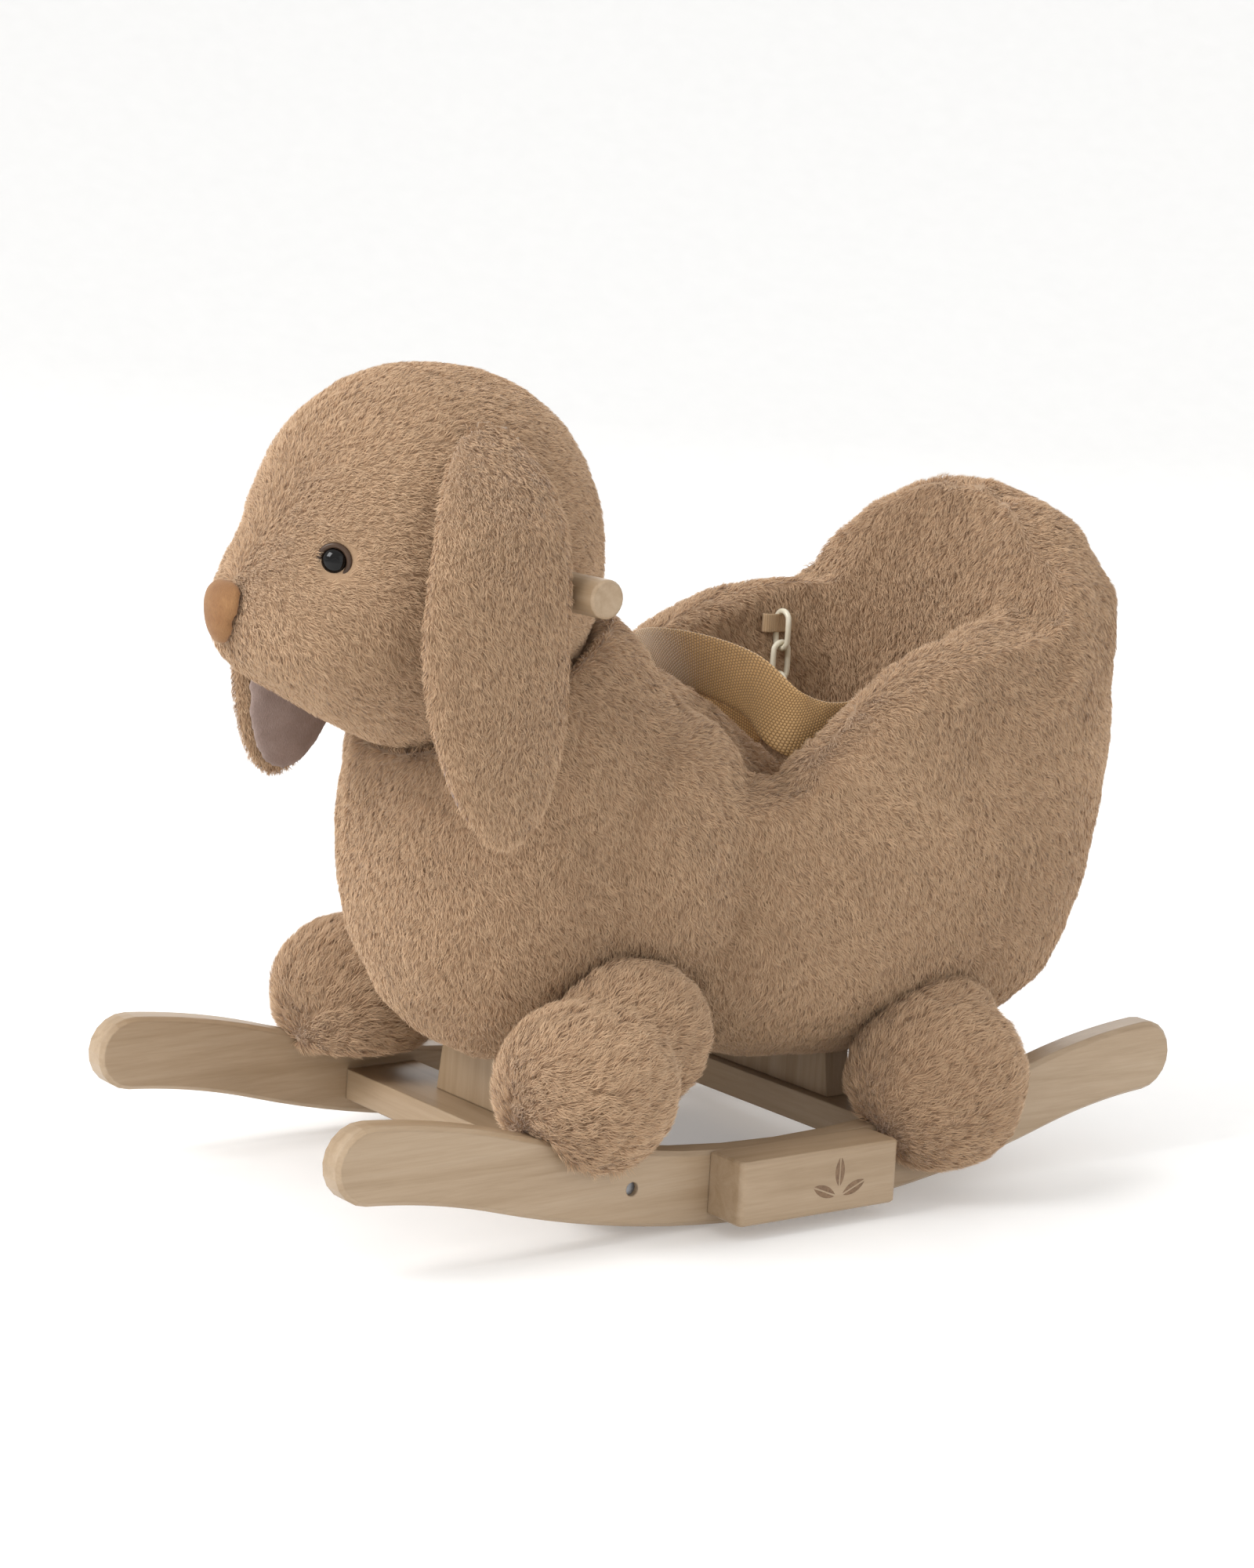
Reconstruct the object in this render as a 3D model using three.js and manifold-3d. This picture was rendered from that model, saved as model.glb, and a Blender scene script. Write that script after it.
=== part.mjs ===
// A plush bunny rocker: a stuffed rabbit seat on a wooden frame with two curved rails.
// Millimetres, +Z up. The animal looks along -Y and its left side is +X. The rails stand on z = 0.
import * as THREE from 'three';
import { mergeVertices } from 'three/addons/utils/BufferGeometryUtils.js';
import Module from 'manifold-3d';

const wasm = await Module();
wasm.setup();

// ---------------------------------------------------------------- driving dimensions
const GAP = 0.3;                 // between pieces that touch
const OVERRUN = 1;               // how far a cutting solid passes the face that it opens
const FAR = 500;                 // half size of the half-spaces used to split and trim

// wooden frame
const RAIL_LENGTH = 620;
const RAIL_SPREAD = 281;         // over the outer faces of both rails
const RAIL_THICKNESS = 18;
const RAIL_WIDTH = 44;           // height of the band that the rail is cut from
const ROCKING_RADIUS = 740;
const FLAT_HALF = 30;            // half of the short flat under each rail
const RAIL_SWEEP = THREE.MathUtils.degToRad(16);
const RAIL_TIP_PITCH = THREE.MathUtils.degToRad(4);
const EDGE_ROUND = 2.5;

const CROSSBAR_PITCH = 227;      // between the middles of the front and rear crossbars
const CROSSBAR_WIDTH = 50;
const CROSSBAR_THICKNESS = 19;
const CROSSBAR_BOTTOM = 21;

const BOLT_RADIUS = 3;
const BOLT_LENGTH = 50;
const BOLT_HEAD_RADIUS = 3.9;
const BOLT_HEAD_DEPTH = 4;
const BOLT_SINK = 3;             // depth of the head below the rail's face

const POST_THICKNESS = 18;
const POST_FOOT = 120;           // width where the post stands on its crossbar
const POST_TOP = 98;
const POST_SETBACK = 9;          // from the crossbar's middle towards the middle of the toy

const FOOTREST_LENGTH = 117;
const FOOTREST_DEPTH = 30;
const FOOTREST_HEIGHT = 38;
const FOOTREST_BOTTOM = 8.5;
const FOOTREST_ROUND = 4;
const SCREW_RADIUS = 2.2;
const SCREW_LENGTH = 40;
const SCREW_HEAD_RADIUS = 4;
const SCREW_HEAD_DEPTH = 3;
const SCREW_PITCH = 70;

// plywood inside the stuffing
const BASE_BOARD_BOTTOM = 112;
const BOARD_THICKNESS = 12;
const BASE_BOARD_TONGUE = { half: 34, y: -160 };
const BASE_BOARD_WAIST = { half: 66, y: -60 };
const BASE_BOARD_TAIL = { half: 56, y: 236 };
const NECK_BOARD_THICKNESS = 18;
const NECK_BOARD_WIDTH = 46;
const NECK_BOARD_TOP = 392;
const BACK_BOARD_HALF = 60;
const BACK_BOARD_FRONT = 238;
const BACK_BOARD_TOP = 355;
const SIDE_BOARD_THICKNESS = 6;
const SIDE_BOARD_INNER = 108;
const SIDE_BOARD_FRONT = 70;
const SIDE_BOARD_REAR = 160;
const SIDE_BOARD_TOP = 285;

const HANDLE_RADIUS = 11;
const HANDLE_LENGTH = 257;
const HANDLE_CHAMFER = 1.5;
const HANDLE_AT = { y: -144, z: 364 };

// stuffed pieces: middle and half sizes along X, Y and Z
const HEAD = { centre: [0, -181, 374], half: [95, 110, 112], square: 2.1 };
const MUZZLE = { centre: [0, -236, 342], half: [72, 68, 60], square: 2.1 };
const CHEST = { centre: [0, -115, 220], half: [107, 100, 146], square: 2.2 };
const SHOULDER = { centre: [72, -60, 212], half: [57, 64, 80], square: 2.1 };
const TRUNK = { centre: [0, 104, 214], half: [143, 205, 150], square: 2.7 };
const SEAT_FLOOR = 215;          // height where the walls stand on the trunk
const NECK_HALF = 60;            // half width of the ridge from the neck down to the seat
const NECK_ROUND = 30;
const NECK_RIDGE = [[-120, SEAT_FLOOR - 60], [106, SEAT_FLOOR - 60], [106, SEAT_FLOOR - 2],
  [2, 291], [-68, 340], [-120, 340]];        // its side outline as [Y, Z]

const WALL_OUTER = { y: 104, a: 143, b: 205, square: 2.7 };
const WALL_DOME = { centre: [0, 104, 250], half: [147, 209, 168], square: 3.6 };  // rounds the backrest over
const WALL_INNER = { y: 86, a: 98, b: 132, square: 3 };
const WALL_FRONT = -34;          // where the side walls start beside the neck ridge
const WALL_LIP = 26;             // height of a wall's low front end above the seat
const RAMP_FRONT = 2;            // where a wall's top turns up into its ramp
const WALL_TOP = 340;
const WALL_RAMP = 160;           // length of the curved rise at the front of a side wall
const WALL_BULGE = 0.42;         // where along the ramp its curve is pulled up
const WALL_SAG = 4;
const WALL_SHOULDER = 12;        // below the wall's top, where the backrest's round top begins
const WALL_NOSE = 36;            // height above the seat where the ramp starts
const BACK_TOP = 415;
const BACK_SPLIT = 196;          // where the side walls meet the backrest
const BACK_LEAN = 26;            // how far the step from the side walls up to the backrest slopes

const FRONT_PAW = { centre: [122, -136, 88], half: [51, 54, 50], square: 2.1 };
const FRONT_LEG = { centre: [104, -94, 110], half: [46, 48, 46], square: 2.1 };
const REAR_PAW = { centre: [141, 111, 69], half: [53, 57, 54], square: 2.1 };
const REAR_LEG = { centre: [114, 120, 92], half: [46, 50, 42], square: 2.1 };

const EAR_ROOT = [66, -190, 458];
const EAR_SHOULDER = [104, -199, 402];
const EAR_FLANK = [112, -203, 322];
const EAR_TIP = [124, -200, 226];
const EAR_WIDTH = { left: 101, right: 92 };
const EAR_HANG = { left: 0, right: 9 };      // how far each ear has slipped back along the head
const EAR_FULLNESS = [0.96, 0.14, -0.12];    // width along the ear as a polynomial of its length
const EAR_THICKNESS = 30;
const EAR_CLEARANCE = 2;         // between the ear and the head
const LINING_SHARE = { width: 0.72, thickness: 0.5 };
const LINING_SPAN = { from: 0.42, to: 0.97 };
const LINING_PROUD = 2;

const EYE_RADIUS = 7;
const EYE_RIM_RADIUS = 10;
const EYE_AT = { x: 48, z: 378 };
const EYE_TURN = THREE.MathUtils.degToRad(42);
const EYE_DOME = 0.75;           // height of the eye's dome as a share of its radius
const EYE_SEAT_DEPTH = 2;
const EYE_RIM_RISE = 3;
const EYE_WASHER_GRIP = 4;       // from the washer's inner face to the end of the shank
const EYE_SHANK_RADIUS = 2.5;
const EYE_SHANK_LENGTH = 17;
const EYE_WASHER_RADIUS = 10;
const EYE_WASHER_THICKNESS = 2;
const NOSE_TAPER = 0.28;         // how far the nose narrows towards its lower point
const NOSE = { centre: [0, -300, 345], half: [21, 10, 18], square: 2.4 };

// belt
const STRAP_WIDTH = 38;
const STRAP_THICKNESS = 1.8;
const CHAIN_TILT = { left: THREE.MathUtils.degToRad(50), right: 0 };   // the strap draws one chain forward
const STRAP_BRANCH = {                        // from each chain to the ridge behind the neck
  left: [[83, 72, 273], [82, 50, 274], [76, 30, 282], [50, 21, 300]],
  right: [[-85, 100, 256], [-84, 58, 266], [-76, 32, 281], [-50, 21, 300]],
};
const STRAP_APEX = [0, 12, 307];
const STRAP_LEAN = { y: -0.3, z: 0.95 };      // across the strap at its apex
const LINK_LENGTH = 28;
const LINK_WIDTH = 16;
const LINK_WIRE = 3.6;
const LINK_PLAY = 0.5;           // between two links that hang in each other
const LINKS_PER_SIDE = 3;
const CHAIN_AT = { x: 84, y: 155, z: 322 };   // middle of the top link's upper bend
const TAB_WIDTH = 4.5;
const TAB_PLAY = 0.8;            // round the link's wire
const TAB_THICKNESS = 1.2;
const TAB_LENGTH = 46;
const STRAP_DROP = 12;           // from the strap's ends back to the middle of the last link's lower bend
const STRAP_SAG = 2;             // of the strap's ends below the last links

// ---------------------------------------------------------------- finishes
const finish = (color, roughness, metalness = 0) =>
  new THREE.MeshStandardMaterial({ color, roughness, metalness });
const BEECH = finish('#cdb491', 0.55);
const PLYWOOD = finish('#b9996c', 0.7);
const PLUSH = finish('#b09278', 0.95);
const LINING = finish('#b39f94', 0.9);
const NOSE_VELOUR = finish('#a5784f', 0.85);
const EYE_GLOSS = finish('#0b0a09', 0.1);
const RIM_BROWN = finish('#4a382d', 0.5);
const WEBBING = finish('#be965f', 0.6);
const RIBBON = finish('#c09c70', 0.7);
const IVORY = finish('#e4dcc3', 0.4);
const STEEL = finish('#8f9296', 0.35, 0.9);

// ---------------------------------------------------------------- joins and cuts
function toSolid(geometry) {
  const bare = geometry.clone();
  for (const name of Object.keys(bare.attributes)) if (name !== 'position') bare.deleteAttribute(name);
  const merged = mergeVertices(bare, 1e-4);
  return new wasm.Manifold(new wasm.Mesh({
    numProp: 3,
    vertProperties: new Float32Array(merged.attributes.position.array),
    triVerts: new Uint32Array(merged.index.array),
  }));
}

function toGeometry(solid) {
  const mesh = solid.getMesh();
  const geometry = new THREE.BufferGeometry();
  geometry.setAttribute('position', new THREE.BufferAttribute(new Float32Array(mesh.vertProperties), 3));
  geometry.setIndex(new THREE.BufferAttribute(new Uint32Array(mesh.triVerts), 1));
  geometry.computeVertexNormals();
  return geometry;
}

const join = (...pieces) => toGeometry(pieces.map(toSolid).reduce((a, b) => a.add(b)));
const cut = (piece, ...tools) => toGeometry(tools.map(toSolid).reduce((a, b) => a.subtract(b), toSolid(piece)));
const common = (...pieces) => toGeometry(pieces.map(toSolid).reduce((a, b) => a.intersect(b)));

// ---------------------------------------------------------------- basic shapes
const UP_IS_Z = new THREE.Matrix4().makeRotationX(Math.PI / 2);
// An outline drawn in (Y, Z) and extruded along X, and one drawn in (X, Z) and extruded along -Y.
const SIDEWAYS = new THREE.Matrix4().makeBasis(
  new THREE.Vector3(0, 1, 0), new THREE.Vector3(0, 0, 1), new THREE.Vector3(1, 0, 0));
const FORWARDS = UP_IS_Z;
const LEVEL = new THREE.Matrix4();

function box(x0, x1, y0, y1, z0, z1) {
  return new THREE.BoxGeometry(x1 - x0, y1 - y0, z1 - z0)
    .translate((x0 + x1) / 2, (y0 + y1) / 2, (z0 + z1) / 2);
}

function reshape(geometry, move) {
  const position = geometry.attributes.position;
  const point = new THREE.Vector3();
  for (let i = 0; i < position.count; i += 1) {
    point.fromBufferAttribute(position, i);
    move(point);
    position.setXYZ(i, point.x, point.y, point.z);
  }
  return geometry;
}

// A stuffed lump: a ball whose sides are fuller the larger its squareness is.
function puff({ centre, half, square }, grow = 0, around = 20, along = 12) {
  const ball = new THREE.SphereGeometry(1, around, along).applyMatrix4(UP_IS_Z);
  return reshape(ball, (p) => {
    const reach = (Math.abs(p.x) ** square + Math.abs(p.y) ** square + Math.abs(p.z) ** square) ** (1 / square);
    p.divideScalar(reach);
    p.set(...p.toArray().map((share, i) => centre[i] + share * (half[i] + grow)));
  });
}

const mirrored = ({ centre, ...rest }) => ({ centre: [-centre[0], centre[1], centre[2]], ...rest });
const onSide = (side, lump) => (side > 0 ? lump : mirrored(lump));

function extrude(outline, depth, matrix, round = 0, segments = 8) {
  return new THREE.ExtrudeGeometry(outline, {
    depth: depth - 2 * round,
    curveSegments: segments,
    bevelEnabled: round > 0,
    bevelThickness: round,
    bevelSize: round,
    bevelOffset: -round,
    bevelSegments: 1,
  }).translate(0, 0, round).applyMatrix4(matrix);
}

// A turned piece: its profile is a list of [radius, height] and its axis is turned to point along +X.
function turned(profile, segments = 12) {
  const lathe = new THREE.LatheGeometry(profile.map(([r, h]) => new THREE.Vector2(r, h)), segments);
  return lathe.rotateZ(-Math.PI / 2);
}

// ---------------------------------------------------------------- wooden frame
const RAIL_OUTER = RAIL_SPREAD / 2;
const RAIL_INNER = RAIL_OUTER - RAIL_THICKNESS;

// A constant-width band: a rocking arc in the middle and a counter arc to each rounded tip.
function railOutline(grow = 0) {
  const shape = new THREE.Shape();
  const radius = ROCKING_RADIUS;
  const middle = radius - FLAT_HALF ** 2 / (2 * radius);
  const [sweep, pitch] = [RAIL_SWEEP, RAIL_TIP_PITCH];
  const half = RAIL_WIDTH / 2;
  const run = RAIL_LENGTH / 2 - half - radius * Math.sin(sweep) + half * Math.sin(pitch);
  const counter = run / (Math.sin(sweep) - Math.sin(pitch));
  const turnY = (radius + counter) * Math.sin(sweep);
  const turnZ = middle - (radius + counter) * Math.cos(sweep);
  const tipY = turnY - (counter + half) * Math.sin(pitch);
  const tipZ = turnZ + (counter + half) * Math.cos(pitch);
  const right = Math.PI / 2;
  const flat = Math.asin(FLAT_HALF / radius);
  shape.moveTo(-FLAT_HALF, -grow);
  shape.lineTo(FLAT_HALF, -grow);
  shape.absarc(0, middle, radius + grow, flat - right, sweep - right, false);
  shape.absarc(turnY, turnZ, counter - grow, right + sweep, right + pitch, true);
  shape.absarc(tipY, tipZ, half + grow, pitch - right, pitch + right, false);
  shape.absarc(turnY, turnZ, counter + RAIL_WIDTH + grow, right + pitch, right + sweep, false);
  shape.absarc(0, middle, radius - RAIL_WIDTH - grow, sweep - right, -sweep - right, true);
  shape.absarc(-turnY, turnZ, counter + RAIL_WIDTH + grow, right - sweep, right - pitch, false);
  shape.absarc(-tipY, tipZ, half + grow, right - pitch, 3 * right - pitch, false);
  shape.absarc(-turnY, turnZ, counter - grow, right - pitch, right - sweep, true);
  shape.absarc(0, middle, radius + grow, -right - sweep, -right - flat, false);
  return shape;
}

const crossbarMiddle = (end) => (end * CROSSBAR_PITCH) / 2;
const CROSSBAR_TOP = CROSSBAR_BOTTOM + CROSSBAR_THICKNESS;
const BOLT_HEIGHT = (CROSSBAR_BOTTOM + CROSSBAR_TOP) / 2;

// Profiles start at the face that the fastener is driven into and run inwards.
function boltGeometry(grow = 0) {
  const start = grow > 0 ? -OVERRUN : BOLT_SINK;
  const shoulder = BOLT_SINK + BOLT_HEAD_DEPTH + grow;
  const end = BOLT_SINK + BOLT_HEAD_DEPTH + BOLT_LENGTH + grow;
  return turned([[0, start], [BOLT_HEAD_RADIUS + grow, start], [BOLT_HEAD_RADIUS + grow, shoulder],
    [BOLT_RADIUS + grow, shoulder], [BOLT_RADIUS + grow, end], [0, end]]);
}

function boltAt(side, end, grow = 0) {
  const bolt = boltGeometry(grow);
  if (side > 0) bolt.rotateZ(Math.PI);
  return bolt.translate(side * RAIL_OUTER, crossbarMiddle(end), BOLT_HEIGHT);
}

// Footrest screws go in from the rail's inner face and out into the block.
function screwAt(side, end, grow = 0) {
  const start = grow > 0 ? -OVERRUN : GAP;
  const shoulder = SCREW_HEAD_DEPTH + grow;
  const screw = turned([[0, start], [SCREW_HEAD_RADIUS + grow, start], [SCREW_HEAD_RADIUS + grow, 2 * GAP],
    [SCREW_RADIUS + grow, shoulder], [SCREW_RADIUS + grow, SCREW_LENGTH + grow], [0, SCREW_LENGTH + grow]]);
  if (side < 0) screw.rotateZ(Math.PI);
  return screw.translate(side * RAIL_INNER, (end * SCREW_PITCH) / 2, FOOTREST_BOTTOM + FOOTREST_HEIGHT / 2);
}

const SIDES = [['left', 1], ['right', -1]];
const ENDS = [['front', -1], ['rear', 1]];

function rail(side) {
  const plank = extrude(railOutline(), RAIL_THICKNESS, SIDEWAYS, EDGE_ROUND, 5);
  plank.translate(side > 0 ? RAIL_INNER : -RAIL_OUTER, 0, 0);
  const holes = ENDS.flatMap(([, end]) => [boltAt(side, end, GAP), screwAt(side, end, GAP)]);
  return cut(plank, ...holes);
}

function crossbar(end) {
  const half = RAIL_INNER - GAP;
  const y = crossbarMiddle(end);
  const plank = box(-half, half, y - CROSSBAR_WIDTH / 2, y + CROSSBAR_WIDTH / 2, CROSSBAR_BOTTOM, CROSSBAR_TOP);
  return cut(plank, boltAt(1, end, GAP), boltAt(-1, end, GAP));
}

function postOutline(grow = 0) {
  const [foot, top] = [POST_FOOT / 2 + grow, POST_TOP / 2 + grow];
  const [low, high] = [CROSSBAR_TOP + GAP, BASE_BOARD_BOTTOM - GAP + grow];
  const corners = [[-foot, low], [foot, low], [top, high], [-top, high]];
  return new THREE.Shape(corners.map(([x, z]) => new THREE.Vector2(x, z)));
}

function post(end, grow = 0) {
  const rear = crossbarMiddle(end) - end * POST_SETBACK + POST_THICKNESS / 2 + grow;
  return extrude(postOutline(grow), POST_THICKNESS + 2 * grow, FORWARDS).translate(0, rear, 0);
}

function footrest(side) {
  const outline = new THREE.Shape();
  const [half, round] = [FOOTREST_LENGTH / 2, FOOTREST_ROUND];
  const top = FOOTREST_DEPTH;
  outline.moveTo(-half, 0);
  outline.lineTo(half, 0);
  outline.lineTo(half, top - round);
  outline.absarc(half - round, top - round, round, 0, Math.PI / 2, false);
  outline.absarc(-half + round, top - round, round, Math.PI / 2, Math.PI, false);
  const block = extrude(outline, FOOTREST_HEIGHT, LEVEL, EDGE_ROUND / 2, 4);
  block.rotateZ(-side * Math.PI / 2).translate(side * (RAIL_OUTER + GAP), 0, FOOTREST_BOTTOM);
  return cut(block, screwAt(side, -1, GAP), screwAt(side, 1, GAP));
}

// ---------------------------------------------------------------- boards inside the stuffing
const BOARD_TOP = BASE_BOARD_BOTTOM + BOARD_THICKNESS;

// The base board narrows to a tongue under the neck and spans the side boards under the seat.
function baseBoard(grow = 0) {
  const wide = SIDE_BOARD_INNER - GAP;
  const half = [[BASE_BOARD_TONGUE.half, BASE_BOARD_TONGUE.y - grow],
    [BASE_BOARD_WAIST.half, BASE_BOARD_WAIST.y], [wide, SIDE_BOARD_FRONT], [wide, SIDE_BOARD_REAR],
    [BASE_BOARD_TAIL.half, BASE_BOARD_TAIL.y + grow]];
  const outline = [...half.map(([x, y]) => [x + grow, y]), ...half.reverse().map(([x, y]) => [-x - grow, y])];
  const shape = new THREE.Shape(outline.map(([x, y]) => new THREE.Vector2(x, y)));
  return extrude(shape, BOARD_THICKNESS + 2 * grow, LEVEL).translate(0, 0, BASE_BOARD_BOTTOM - grow);
}

const neckBoard = (grow = 0) => box(-NECK_BOARD_THICKNESS / 2 - grow, NECK_BOARD_THICKNESS / 2 + grow,
  HANDLE_AT.y - NECK_BOARD_WIDTH / 2 - grow, HANDLE_AT.y + NECK_BOARD_WIDTH / 2 + grow,
  BOARD_TOP + GAP - grow, NECK_BOARD_TOP + grow);
const backBoard = (grow = 0) => box(-BACK_BOARD_HALF - grow, BACK_BOARD_HALF + grow,
  BACK_BOARD_FRONT - grow, BACK_BOARD_FRONT + BOARD_THICKNESS + grow,
  BOARD_TOP + GAP - grow, BACK_BOARD_TOP + grow);

function sideBoard(side, grow = 0) {
  const faces = [side * (SIDE_BOARD_INNER - grow), side * (SIDE_BOARD_INNER + SIDE_BOARD_THICKNESS + grow)];
  return box(Math.min(...faces), Math.max(...faces), SIDE_BOARD_FRONT - grow, SIDE_BOARD_REAR + grow,
    BASE_BOARD_BOTTOM - grow, SIDE_BOARD_TOP + grow);
}

function handle(grow = 0) {
  const [radius, half] = [HANDLE_RADIUS + grow, HANDLE_LENGTH / 2];
  const inset = radius - HANDLE_CHAMFER;
  return turned([[0, -half], [inset, -half], [radius, -half + HANDLE_CHAMFER],
    [radius, half - HANDLE_CHAMFER], [inset, half], [0, half]], 24).translate(0, HANDLE_AT.y, HANDLE_AT.z);
}

// ---------------------------------------------------------------- head
function headSkin(grow = 0) {
  return join(puff(HEAD, grow), puff(MUZZLE, grow));
}

// Places a turned eye piece so that its axis leaves the face where the eye sits.
const EYE_REACH = puffDepth(MUZZLE, EYE_AT) ?? puffDepth(HEAD, EYE_AT);

function puffDepth({ centre, half, square }, { x, z }) {
  const [across, up] = [Math.abs(x - centre[0]) / half[0], Math.abs(z - centre[2]) / half[2]];
  const rest = 1 - across ** square - up ** square;
  return rest > 0 ? centre[1] - half[1] * rest ** (1 / square) : null;
}

function placeEye(geometry, side) {
  return geometry.rotateZ(-Math.PI / 2 + side * EYE_TURN).translate(side * EYE_AT.x, EYE_REACH, EYE_AT.z);
}

function eye(side, grow = 0) {
  const dome = [0, 22.5, 45, 67.5, 90].map((angle) => {
    const turn = THREE.MathUtils.degToRad(angle);
    return [(EYE_RADIUS + grow) * Math.cos(turn), (EYE_RADIUS * EYE_DOME + grow) * Math.sin(turn)];
  });
  const shank = EYE_SHANK_RADIUS + grow;
  return placeEye(turned([[0, -EYE_SHANK_LENGTH - grow], [shank, -EYE_SHANK_LENGTH - grow], [shank, -grow],
    ...dome.slice(0, -1).map(([r, h]) => [r, h - (h === 0 ? grow : 0)]), [0, dome[4][1]]]), side);
}

function eyeRim(side, grow = 0) {
  const [inner, outer] = [EYE_RADIUS + GAP - grow, EYE_RIM_RADIUS + grow];
  const [low, high] = [-EYE_SEAT_DEPTH - grow, EYE_RIM_RISE + grow];
  const profile = [[inner, low], [outer, low], [outer, high - EYE_SEAT_DEPTH], [inner, high], [inner, low]];
  return placeEye(turned(profile, 20), side);
}

function eyeWasher(side, grow = 0) {
  const [inner, outer] = [EYE_SHANK_RADIUS + GAP - grow, EYE_WASHER_RADIUS + grow];
  const face = EYE_WASHER_GRIP - EYE_SHANK_LENGTH;
  const [low, high] = [face - grow, face + EYE_WASHER_THICKNESS + grow];
  return placeEye(turned([[inner, low], [outer, low], [outer, high], [inner, high], [inner, low]], 12), side);
}

function eyePocket(side) {
  const [shank, end] = [EYE_SHANK_RADIUS + 2 * GAP, -EYE_SHANK_LENGTH - GAP];
  const bore = placeEye(turned([[0, end], [shank, end], [shank, OVERRUN], [0, OVERRUN]]), side);
  const floor = -EYE_SEAT_DEPTH - GAP;
  const seat = placeEye(turned([[0, floor], [EYE_RIM_RADIUS + GAP, floor],
    [EYE_RIM_RADIUS + GAP, EYE_RIM_RADIUS], [0, EYE_RIM_RADIUS]], 20), side);
  return join(bore, seat, eyeWasher(side, GAP));
}

function nose() {
  const pad = reshape(puff(NOSE, 0, 16, 10), (p) => {
    const drop = (p.z - NOSE.centre[2]) / NOSE.half[2];
    p.x *= 1 - NOSE_TAPER + NOSE_TAPER * drop;
  });
  return cut(pad, headSkin(GAP));
}

function head() {
  return cut(headSkin(), neckBoard(GAP), handle(GAP), eyePocket(1), eyePocket(-1));
}

// ---------------------------------------------------------------- ears
const point = (side, [x, y, z]) => new THREE.Vector3(side * x, y, z);

// A flat teardrop bent over the side of the head. Its width runs along Y.
function earBlank(side, { width = 1, thickness = 1, inward = 0, from = 0, to = 1, grow = 0 } = {}) {
  const name = side > 0 ? 'left' : 'right';
  const hang = new THREE.Vector3(0, EAR_HANG[name], 0);
  const spine = new THREE.CatmullRomCurve3([point(side, EAR_ROOT), point(side, EAR_SHOULDER).add(hang),
    point(side, EAR_FLANK).add(hang), point(side, EAR_TIP)]);
  const across = new THREE.Vector3(0, 1, 0);
  const ball = new THREE.SphereGeometry(1, 14, 14);
  return reshape(ball, (p) => {
    const share = THREE.MathUtils.clamp(from + (to - from) * (1 - p.y) / 2, 0, 1);
    const along = spine.getTangentAt(share);
    const outward = new THREE.Vector3().crossVectors(along, across).multiplyScalar(side).normalize();
    const full = EAR_FULLNESS[0] + EAR_FULLNESS[1] * share + EAR_FULLNESS[2] * share ** 3;
    const middle = spine.getPointAt(share);
    middle.addScaledVector(outward, -inward);
    middle.addScaledVector(across, p.z * (EAR_WIDTH[name] / 2 * width * full + grow));
    middle.addScaledVector(outward, side * p.x * (EAR_THICKNESS / 2 * thickness + grow));
    middle.addScaledVector(along, -p.y * grow);
    p.copy(middle);
  });
}

function faceOut(geometry) {
  const solid = toSolid(geometry);
  return solid.volume() > 0 ? geometry : flipped(geometry);
}

function flipped(geometry) {
  const index = Array.from(geometry.index.array);
  for (let i = 0; i < index.length; i += 3) [index[i + 1], index[i + 2]] = [index[i + 2], index[i + 1]];
  geometry.setIndex(index);
  return geometry;
}

// The ears stay in front of the handle, so that they can be lifted past it.
const behindEars = () => box(-FAR, FAR, HANDLE_AT.y - HANDLE_RADIUS - EAR_CLEARANCE, FAR, 0, FAR);

const ear = (side) => cut(faceOut(earBlank(side)), headSkin(EAR_CLEARANCE), behindEars());

function earLining(side) {
  const inward = EAR_THICKNESS / 2 * (1 - LINING_SHARE.thickness) + LINING_PROUD;
  const patch = earBlank(side, { ...LINING_SHARE, ...LINING_SPAN, inward });
  const shell = faceOut(earBlank(side, { grow: GAP }));
  return cut(faceOut(patch), shell, headSkin(EAR_CLEARANCE), behindEars());
}

// ---------------------------------------------------------------- trunk, walls and paws
// The ridge that falls from the back of the neck to the seat.
function neckRidge() {
  const outline = new THREE.Shape(NECK_RIDGE.map(([y, z]) => new THREE.Vector2(y, z)));
  return extrude(outline, 2 * NECK_HALF, SIDEWAYS, NECK_ROUND).translate(-NECK_HALF, 0, 0);
}

function railSpace(side) {
  return extrude(railOutline(GAP), RAIL_THICKNESS + 2 * GAP, SIDEWAYS)
    .translate(side > 0 ? RAIL_INNER - GAP : -RAIL_OUTER - GAP, 0, 0);
}

function frameSpace() {
  return join(baseBoard(GAP), neckBoard(GAP), backBoard(GAP), sideBoard(1, GAP), sideBoard(-1, GAP),
    post(-1, GAP), post(1, GAP));
}

function trunkSkin(grow = 0) {
  const lump = common(puff(TRUNK, grow, 24, 16), box(-FAR, FAR, -FAR, FAR, 0, SEAT_FLOOR + grow));
  const shoulders = [1, -1].map((side) => puff(onSide(side, SHOULDER), grow));
  return join(lump, puff(CHEST, grow), ...shoulders, neckRidge());
}

function torso() {
  return cut(trunkSkin(), headSkin(GAP), frameSpace(), railSpace(1), railSpace(-1));
}

function superOutline({ y, a, b, square }, steps = 40) {
  const outline = [];
  for (let i = 0; i < steps; i += 1) {
    const turn = (2 * Math.PI * i) / steps;
    const [c, s] = [Math.cos(turn), Math.sin(turn)];
    const reach = (Math.abs(c) ** square + Math.abs(s) ** square) ** (1 / square);
    outline.push(new THREE.Vector2((a * c) / reach, y + (b * s) / reach));
  }
  return outline;
}

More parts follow.
